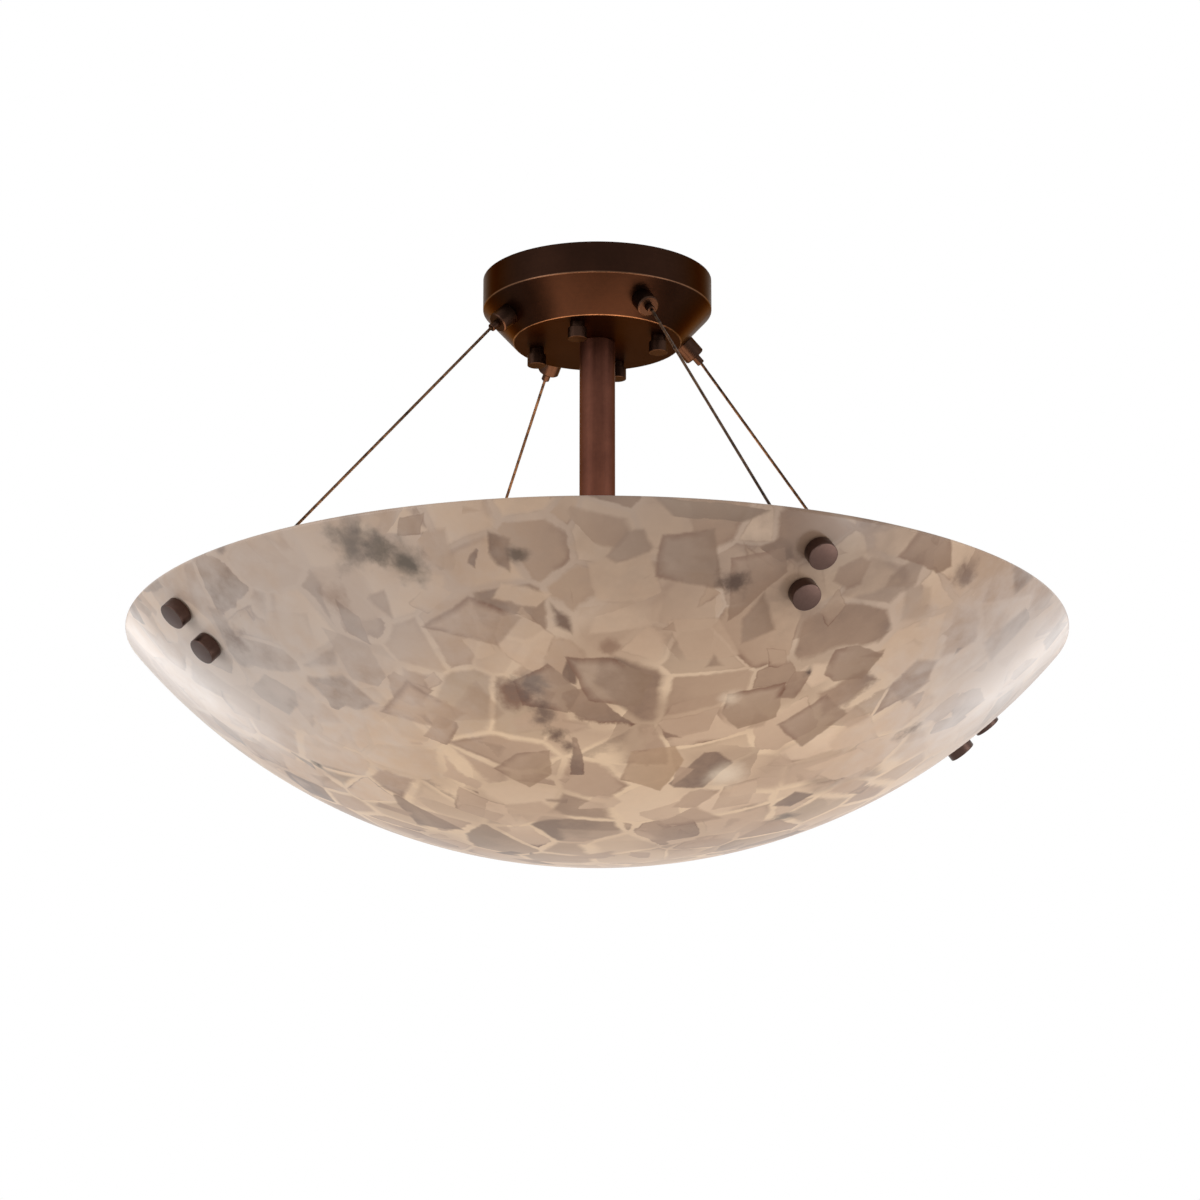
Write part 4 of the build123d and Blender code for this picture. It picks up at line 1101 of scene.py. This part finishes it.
@dataclass
class Suspension:
    """The grippers on the canopy's cone and the four wire ropes."""

    finishes: Finishes
    rope_radius: float = 1.15 * MM
    wires: int = 6
    lay_length: float = 13.0 * MM
    ring_radius: float = 72.6 * MM
    cone_run: float = 22.8 * MM
    cone_fall: float = 25.3 * MM
    canopy_radius: float = 85.1 * MM
    wall: float = 23.4 * MM
    tail: float = 18.0 * MM
    mouth: float = 21.4 * MM
    bend: float = 15.0 * MM
    bend_steps: int = 6
    rope_step: float = 0.8 * MM
    rope_sides: int = 6
    gripped: float = 15.0 * MM
    grip_ease: float = 4.0 * MM
    grip: float = 0.83
    ball_depth: float = 12.94 * MM
    coil_radius: float = 2.6 * MM
    coil_wire: float = 0.29 * MM
    coil_turns: float = 6.5
    coil_steps: int = 28
    coil_sides: int = 8
    coil_rear: float = 9.95 * MM
    coil_front: float = 0.55 * MM

    def dress(self) -> None:
        """Give the grippers' CAD nodes their finishes."""
        dress(self.finishes.nut_bronze, "gripper_barrels")
        dress(self.finishes.zinc, "gripper_nuts", "cable_ball_ends")
        dress(self.finishes.brass, "gripper_plugs")
        for number in range(1, QUARTERS + 1):
            dress(self.finishes.nut_bronze, f"gripper_plunger_{number}")
            dress(self.finishes.zinc, f"gripper_balls_{number}")

    def away(self, number: int) -> Vector:
        """The level direction from the stem to a gripper."""
        turn = CABLE_BEARING + math.tau * number / QUARTERS
        return Vector((math.cos(turn), math.sin(turn), 0.0))

    def gripper(self, number: int) -> tuple[Vector, Vector]:
        """A gripper's place on the cone, and its axis outwards."""
        away = self.away(number)
        dip = math.atan2(self.cone_run, self.cone_fall)
        drop = self.wall + (self.canopy_radius - self.ring_radius) * self.cone_fall / self.cone_run
        return away * self.ring_radius + DOWN * drop, away * math.cos(dip) + DOWN * math.sin(dip)

    def path(self, number: int) -> list[Vector]:
        """A rope's corners: its tail in the canopy, its gripper's mouth and its ball end."""
        base, axis = self.gripper(number)
        square = self.away(number) * math.sin(PAIR_ANGLE) + DOWN * math.cos(PAIR_ANGLE)
        ball = Vector((0.0, 0.0, BOWL_CENTRE)) + square * (BOWL_RADIUS - self.ball_depth)
        return [base - axis * self.tail, base + axis * self.mouth, ball]

    def build(self) -> None:
        """Wind the springs and lay the ropes."""
        self._springs()
        self._ropes()

    def _springs(self) -> None:
        """Wind each gripper's spring."""
        tree = coil_tree()
        sizes = {
            "Steps": self.coil_steps,
            "Sides": self.coil_sides,
            "Coil Radius": self.coil_radius,
            "Wire Radius": self.coil_wire,
            "Height": self.coil_rear - self.coil_front - 2 * self.coil_wire,
            "Turns": self.coil_turns,
            "Material": self.finishes.zinc,
        }
        for number in range(QUARTERS):
            name = f"release_spring_{number + 1}"
            base, axis = self.gripper(number)
            turned = axis.to_track_quat("Z", "Y").to_matrix().to_4x4()
            foot = Matrix.Translation(base - axis * (self.coil_rear - self.coil_wire))
            spring = tree.piece(name, bpy.data.meshes.new(name + "_source"), sizes, foot @ turned)
            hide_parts(f"gripper_spring_{number + 1}")
            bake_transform(spring)
            log.info("%s: %d faces, blended", name, len(spring.data.polygons))

    def _ropes(self) -> None:
        """Lay the strands of each rope."""
        strand = self.rope_radius / 3
        tree = rope_tree()
        sizes = {
            "Strands": self.wires,
            "Sides": self.rope_sides,
            "Bend Steps": self.bend_steps,
            "Strand Radius": strand,
            "Lay Radius": 2 * strand,
            "Lay Length": self.lay_length,
            "Bend Radius": self.bend,
            "Step": self.rope_step,
            "Grip Length": self.tail + self.gripped,
            "Grip Ease": self.grip_ease,
            "Grip": self.grip,
            "Material": self.finishes.rope,
        }
        for number in range(QUARTERS):
            name = f"wire_rope_{number + 1}"
            curve = bpy.data.curves.new(name, "CURVE")
            curve.dimensions = "3D"
            points = self.path(number)
            spline = curve.splines.new("POLY")
            spline.points.add(len(points) - 1)
            for place, point in zip(spline.points, points):
                place.co = (*point, 1.0)
            rope = tree.piece(name, curve, sizes, Matrix())
            settle(rope, ROOT_BODY, "wire_rope", f"cable_{number + 1}")


@dataclass
class Bowl:
    """The cast bowl, its brackets, washers and finials."""

    finishes: Finishes
    rim_height: float = -275.3 * MM
    wall: float = 8.0 * MM
    rim_round: float = 1.6 * MM
    sides: int = 240
    outer_rings: int = 72
    inner_rings: int = 48
    spacing: float = 32.0 * MM
    screw_radius: float = 2.9 * MM
    finial_radius: float = 10.3 * MM
    finial_base: float = 0.9 * MM
    finial_tip: float = 10.1 * MM
    finial_round: float = 0.5 * MM
    foot_round: float = 0.2 * MM
    finial_sides: int = 72
    pin_sides: int = 40
    pin_reach: float = 0.03

    def dress(self) -> None:
        """Give the small parts' CAD nodes their finishes."""
        dress(self.finishes.zinc, "bowl_brackets", "bracket_screws")
        dress(self.finishes.rubber, "inner_washers", "outer_washers")

    def _arc(self, radius: float, count: int) -> list[Point]:
        """Points on a sphere's section from its pole to the rim's height, without the last one."""
        last = math.acos((BOWL_CENTRE - self.rim_height) / radius)
        turns = [last * step / count for step in range(count + 1)]
        return [(radius * math.sin(turn), BOWL_CENTRE - radius * math.cos(turn)) for turn in turns]

    def build(self) -> None:
        """Build the bowl and the finials."""
        outside = self._arc(BOWL_RADIUS, self.outer_rings)
        inside = self._arc(BOWL_RADIUS - self.wall, self.inner_rings)
        corners = {len(outside) - 1: self.rim_round, len(outside): self.rim_round}
        outline = rounded(outside + inside[::-1], corners)
        mesh = lathe("bowl_stone", outline, self.sides)
        bowl = mesh_object("bowl_stone", mesh, self.finishes.stone)
        self._drill(bowl)
        smooth(bowl.data, 40.0)
        settle(bowl, ROOT_BODY, "cast_resin", "bowl")
        self._finials()

    def _set_round(
        self, piece: bpy.types.Object, height: float, material: bpy.types.Material
    ) -> None:
        """Repeat a pair on every quarter, at this height over the bowl's outside."""
        reach = BOWL_RADIUS + height
        sizes = {
            "Count": QUARTERS,
            "Bearing": CABLE_BEARING,
            "Ring Radius": reach * math.sin(PAIR_ANGLE),
            "Height": BOWL_CENTRE - reach * math.cos(PAIR_ANGLE),
            "Tilt": math.pi - PAIR_ANGLE,
            "Material": material,
        }
        piece.data = ring_tree().run(piece, sizes)

    def _pair(self, name: str, single: bpy.types.Mesh) -> bpy.types.Mesh:
        """Two copies of a mesh, a pair's spacing apart along the slope."""
        copies = []
        for side in (-1, 1):
            copy = single.copy()
            copy.transform(Matrix.Translation((side * self.spacing / 2, 0.0, 0.0)))
            copies.append(copy)
        return merged(name, copies)

    def _drill(self, bowl: bpy.types.Object) -> None:
        """Cut the screws' holes."""
        radius, reach = self.screw_radius, self.pin_reach
        outline = [(0.0, -reach), (radius, -reach), (radius, reach), (0.0, reach)]
        pair = self._pair("holes", lathe("hole", outline, self.pin_sides))
        pins = mesh_object("holes", pair, self.finishes.stone)
        self._set_round(pins, 0.0, self.finishes.stone)
        cut = bowl.modifiers.new("holes", "BOOLEAN")
        cut.operation = "DIFFERENCE"
        cut.solver = "EXACT"
        cut.object = pins
        bowl.data = baked(bowl)
        bpy.data.objects.remove(pins)

    def _finials(self) -> None:
        """Build the eight plain caps with softened edges."""
        radius, height = self.finial_radius, self.finial_tip - self.finial_base
        outline = [(0.0, 0.0), (radius, 0.0), (radius, height), (0.0, height)]
        outline = rounded(outline, {1: self.foot_round, 2: self.finial_round})
        single = lathe("finial", outline, self.finial_sides)
        smooth(single, 50.0)
        bronze = self.finishes.finial_bronze
        finials = mesh_object("finials", self._pair("finials", single), bronze)
        self._set_round(finials, self.finial_base, bronze)
        settle(finials, ROOT_BODY, "dark_bronze", "bowl_finials")


@dataclass
class StemAndCluster:
    """The stem, the rod inside it, the lamp cluster and its wiring."""

    finishes: Finishes

    def dress(self) -> None:
        """Give their CAD nodes their finishes."""
        dress(self.finishes.stem_bronze, "stem")
        dress(self.finishes.canopy_bronze, "cluster_body", "cluster_cover")
        dress(self.finishes.zinc, "stem_rod", "rod_washers", "rod_nuts")
        dress(self.finishes.zinc, "socket_nipples", "nipple_nuts")
        dress(self.finishes.insulation, "supply_leads", "socket_leads")
        dress(self.finishes.connector, "wire_connectors")
        dress(self.finishes.porcelain, "terminal_block")
        log.info("stem and cluster dressed")


@dataclass
class Lamps:
    """The lampholders and the frosted lamps."""

    finishes: Finishes

    def dress(self) -> None:
        """Give their CAD nodes their finishes."""
        dress(self.finishes.brass, "socket_sleeves", "socket_contacts")
        for number in range(1, QUARTERS + 1):
            dress(self.finishes.porcelain, f"socket_{number}")
            dress(self.finishes.lamp_cap, f"lamp_cap_{number}")
            dress(self.finishes.glass, f"lamp_bulb_{number}")
        log.info("lamps dressed")


# ------------------------------------------------------------------ studio


@dataclass(frozen=True)
class SoftLight:
    """One soft rectangular studio light."""

    name: str
    place: Place
    aim: Place
    width: float
    height: float
    watts: float
    colour: Colour = WHITE

    def build(self) -> None:
        """Put the light in the scene."""
        data = bpy.data.lights.new(self.name, "AREA")
        data.shape = "RECTANGLE"
        data.size, data.size_y = self.width, self.height
        data.energy = self.watts
        data.color = self.colour
        lamp = bpy.data.objects.new(self.name, data)
        lamp.location = self.place
        look = Vector(self.aim) - Vector(self.place)
        lamp.rotation_euler = look.to_track_quat("-Z", "Y").to_euler()
        bpy.context.scene.collection.objects.link(lamp)


@dataclass
class Studio:
    """The camera, the pale floor, the white surround and the soft lights."""

    camera_place: Place = (0.002, -3.25, -1.1954)
    camera_pitch: float = 16.26
    lens: float = 138.84
    sensor: float = 36.0
    sight: float = 100.0
    floor_height: float = -3.6
    floor_half: float = 60.0
    floor_lift: float = 0.55
    ambient: float = 0.50
    lights: tuple[SoftLight, ...] = (
        SoftLight("left_panel", (-2.4, -1.6, -0.5), (0.0, 0.0, -0.33), 1.6, 2.2, 26.0),
        SoftLight("right_panel", (2.6, -1.2, -0.6), (0.0, 0.0, -0.33), 1.4, 2.2, 18.0),
        SoftLight("right_low", (1.1, -0.5, -1.25), (0.14, -0.27, -0.31), 0.28, 0.28, 3.0),
        SoftLight("left_rim", (-1.75, 3.0, -0.65), (-0.28, -0.05, -0.32), 0.6, 1.3, 7.5),
        SoftLight("right_rim", (1.75, 3.0, -0.60), (0.30, -0.05, -0.30), 0.6, 1.3, 5.0),
        SoftLight(
            "bowl_glow", (0.0, 0.0, -0.235), (0.0, 0.0, 0.0), 0.36, 0.36, 2.3, (1.0, 0.77, 0.54)
        ),
    )

    def build(self) -> None:
        """Build the studio."""
        self._camera()
        self._floor()
        self._world()
        for light in self.lights:
            light.build()
        bpy.context.scene.view_settings.view_transform = "Standard"

    def _camera(self) -> None:
        """The camera, low in front of the light and looking up at it."""
        data = bpy.data.cameras.new("camera")
        data.lens = self.lens
        data.sensor_width = self.sensor
        data.sensor_fit = "HORIZONTAL"
        data.clip_end = self.sight
        camera = bpy.data.objects.new("camera", data)
        camera.location = self.camera_place
        camera.rotation_euler = (math.radians(90.0 + self.camera_pitch), 0.0, 0.0)
        bpy.context.scene.collection.objects.link(camera)
        bpy.context.scene.camera = camera

    def _floor(self) -> None:
        """A plain pale floor far below the light, white to the eye with the light's soft shadow."""
        half = self.floor_half
        form = bmesh.new()
        corners = [(-half, -half), (half, -half), (half, half), (-half, half)]
        form.faces.new([form.verts.new((x, y, self.floor_height)) for x, y in corners])
        mesh = bpy.data.meshes.new("floor")
        form.to_mesh(mesh)
        form.free()
        graph = Graph("pale_floor")
        grain = graph.noise(graph.place(), 0.4, 3.0)
        colour = graph.mix(grain, srgb(238, 238, 237), srgb(244, 244, 243))
        matt = graph.add("ShaderNodeBsdfDiffuse", values={"Color": colour})
        bright = graph.add("ShaderNodeEmission", values={"Color": (*WHITE, 1.0), "Strength": 1.0})
        shown = graph.seen() * self.floor_lift
        mixed = graph.add("ShaderNodeMixShader", values={0: shown, 1: matt, 2: bright})
        graph.add("ShaderNodeOutputMaterial", values={"Surface": mixed})
        floor = mesh_object("floor", mesh, graph.owner)

    def _world(self) -> None:
        """A surround that is white to camera and gloss, and gives an even low light."""
        graph = Graph("surround", is_world=True)
        strength = self.ambient + graph.seen() * (1.0 - self.ambient)
        values = {"Color": (*WHITE, 1.0), "Strength": strength}
        background = graph.add("ShaderNodeBackground", values=values)
        graph.add("ShaderNodeOutputWorld", values={"Surface": background})
        bpy.context.scene.world = graph.owner


# ------------------------------------------------------------------ build


def main() -> None:
    """Build the light in order and report each piece."""
    logging.basicConfig(level=logging.INFO, format="%(name)s: %(message)s")
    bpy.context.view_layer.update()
    Studio().build()
    finishes = Finishes()
    Canopy(finishes).dress()
    suspension = Suspension(finishes)
    suspension.dress()
    suspension.build()
    bowl = Bowl(finishes)
    bowl.dress()
    bowl.build()
    StemAndCluster(finishes).dress()
    Lamps(finishes).dress()


if __name__ == "__main__":
    main()
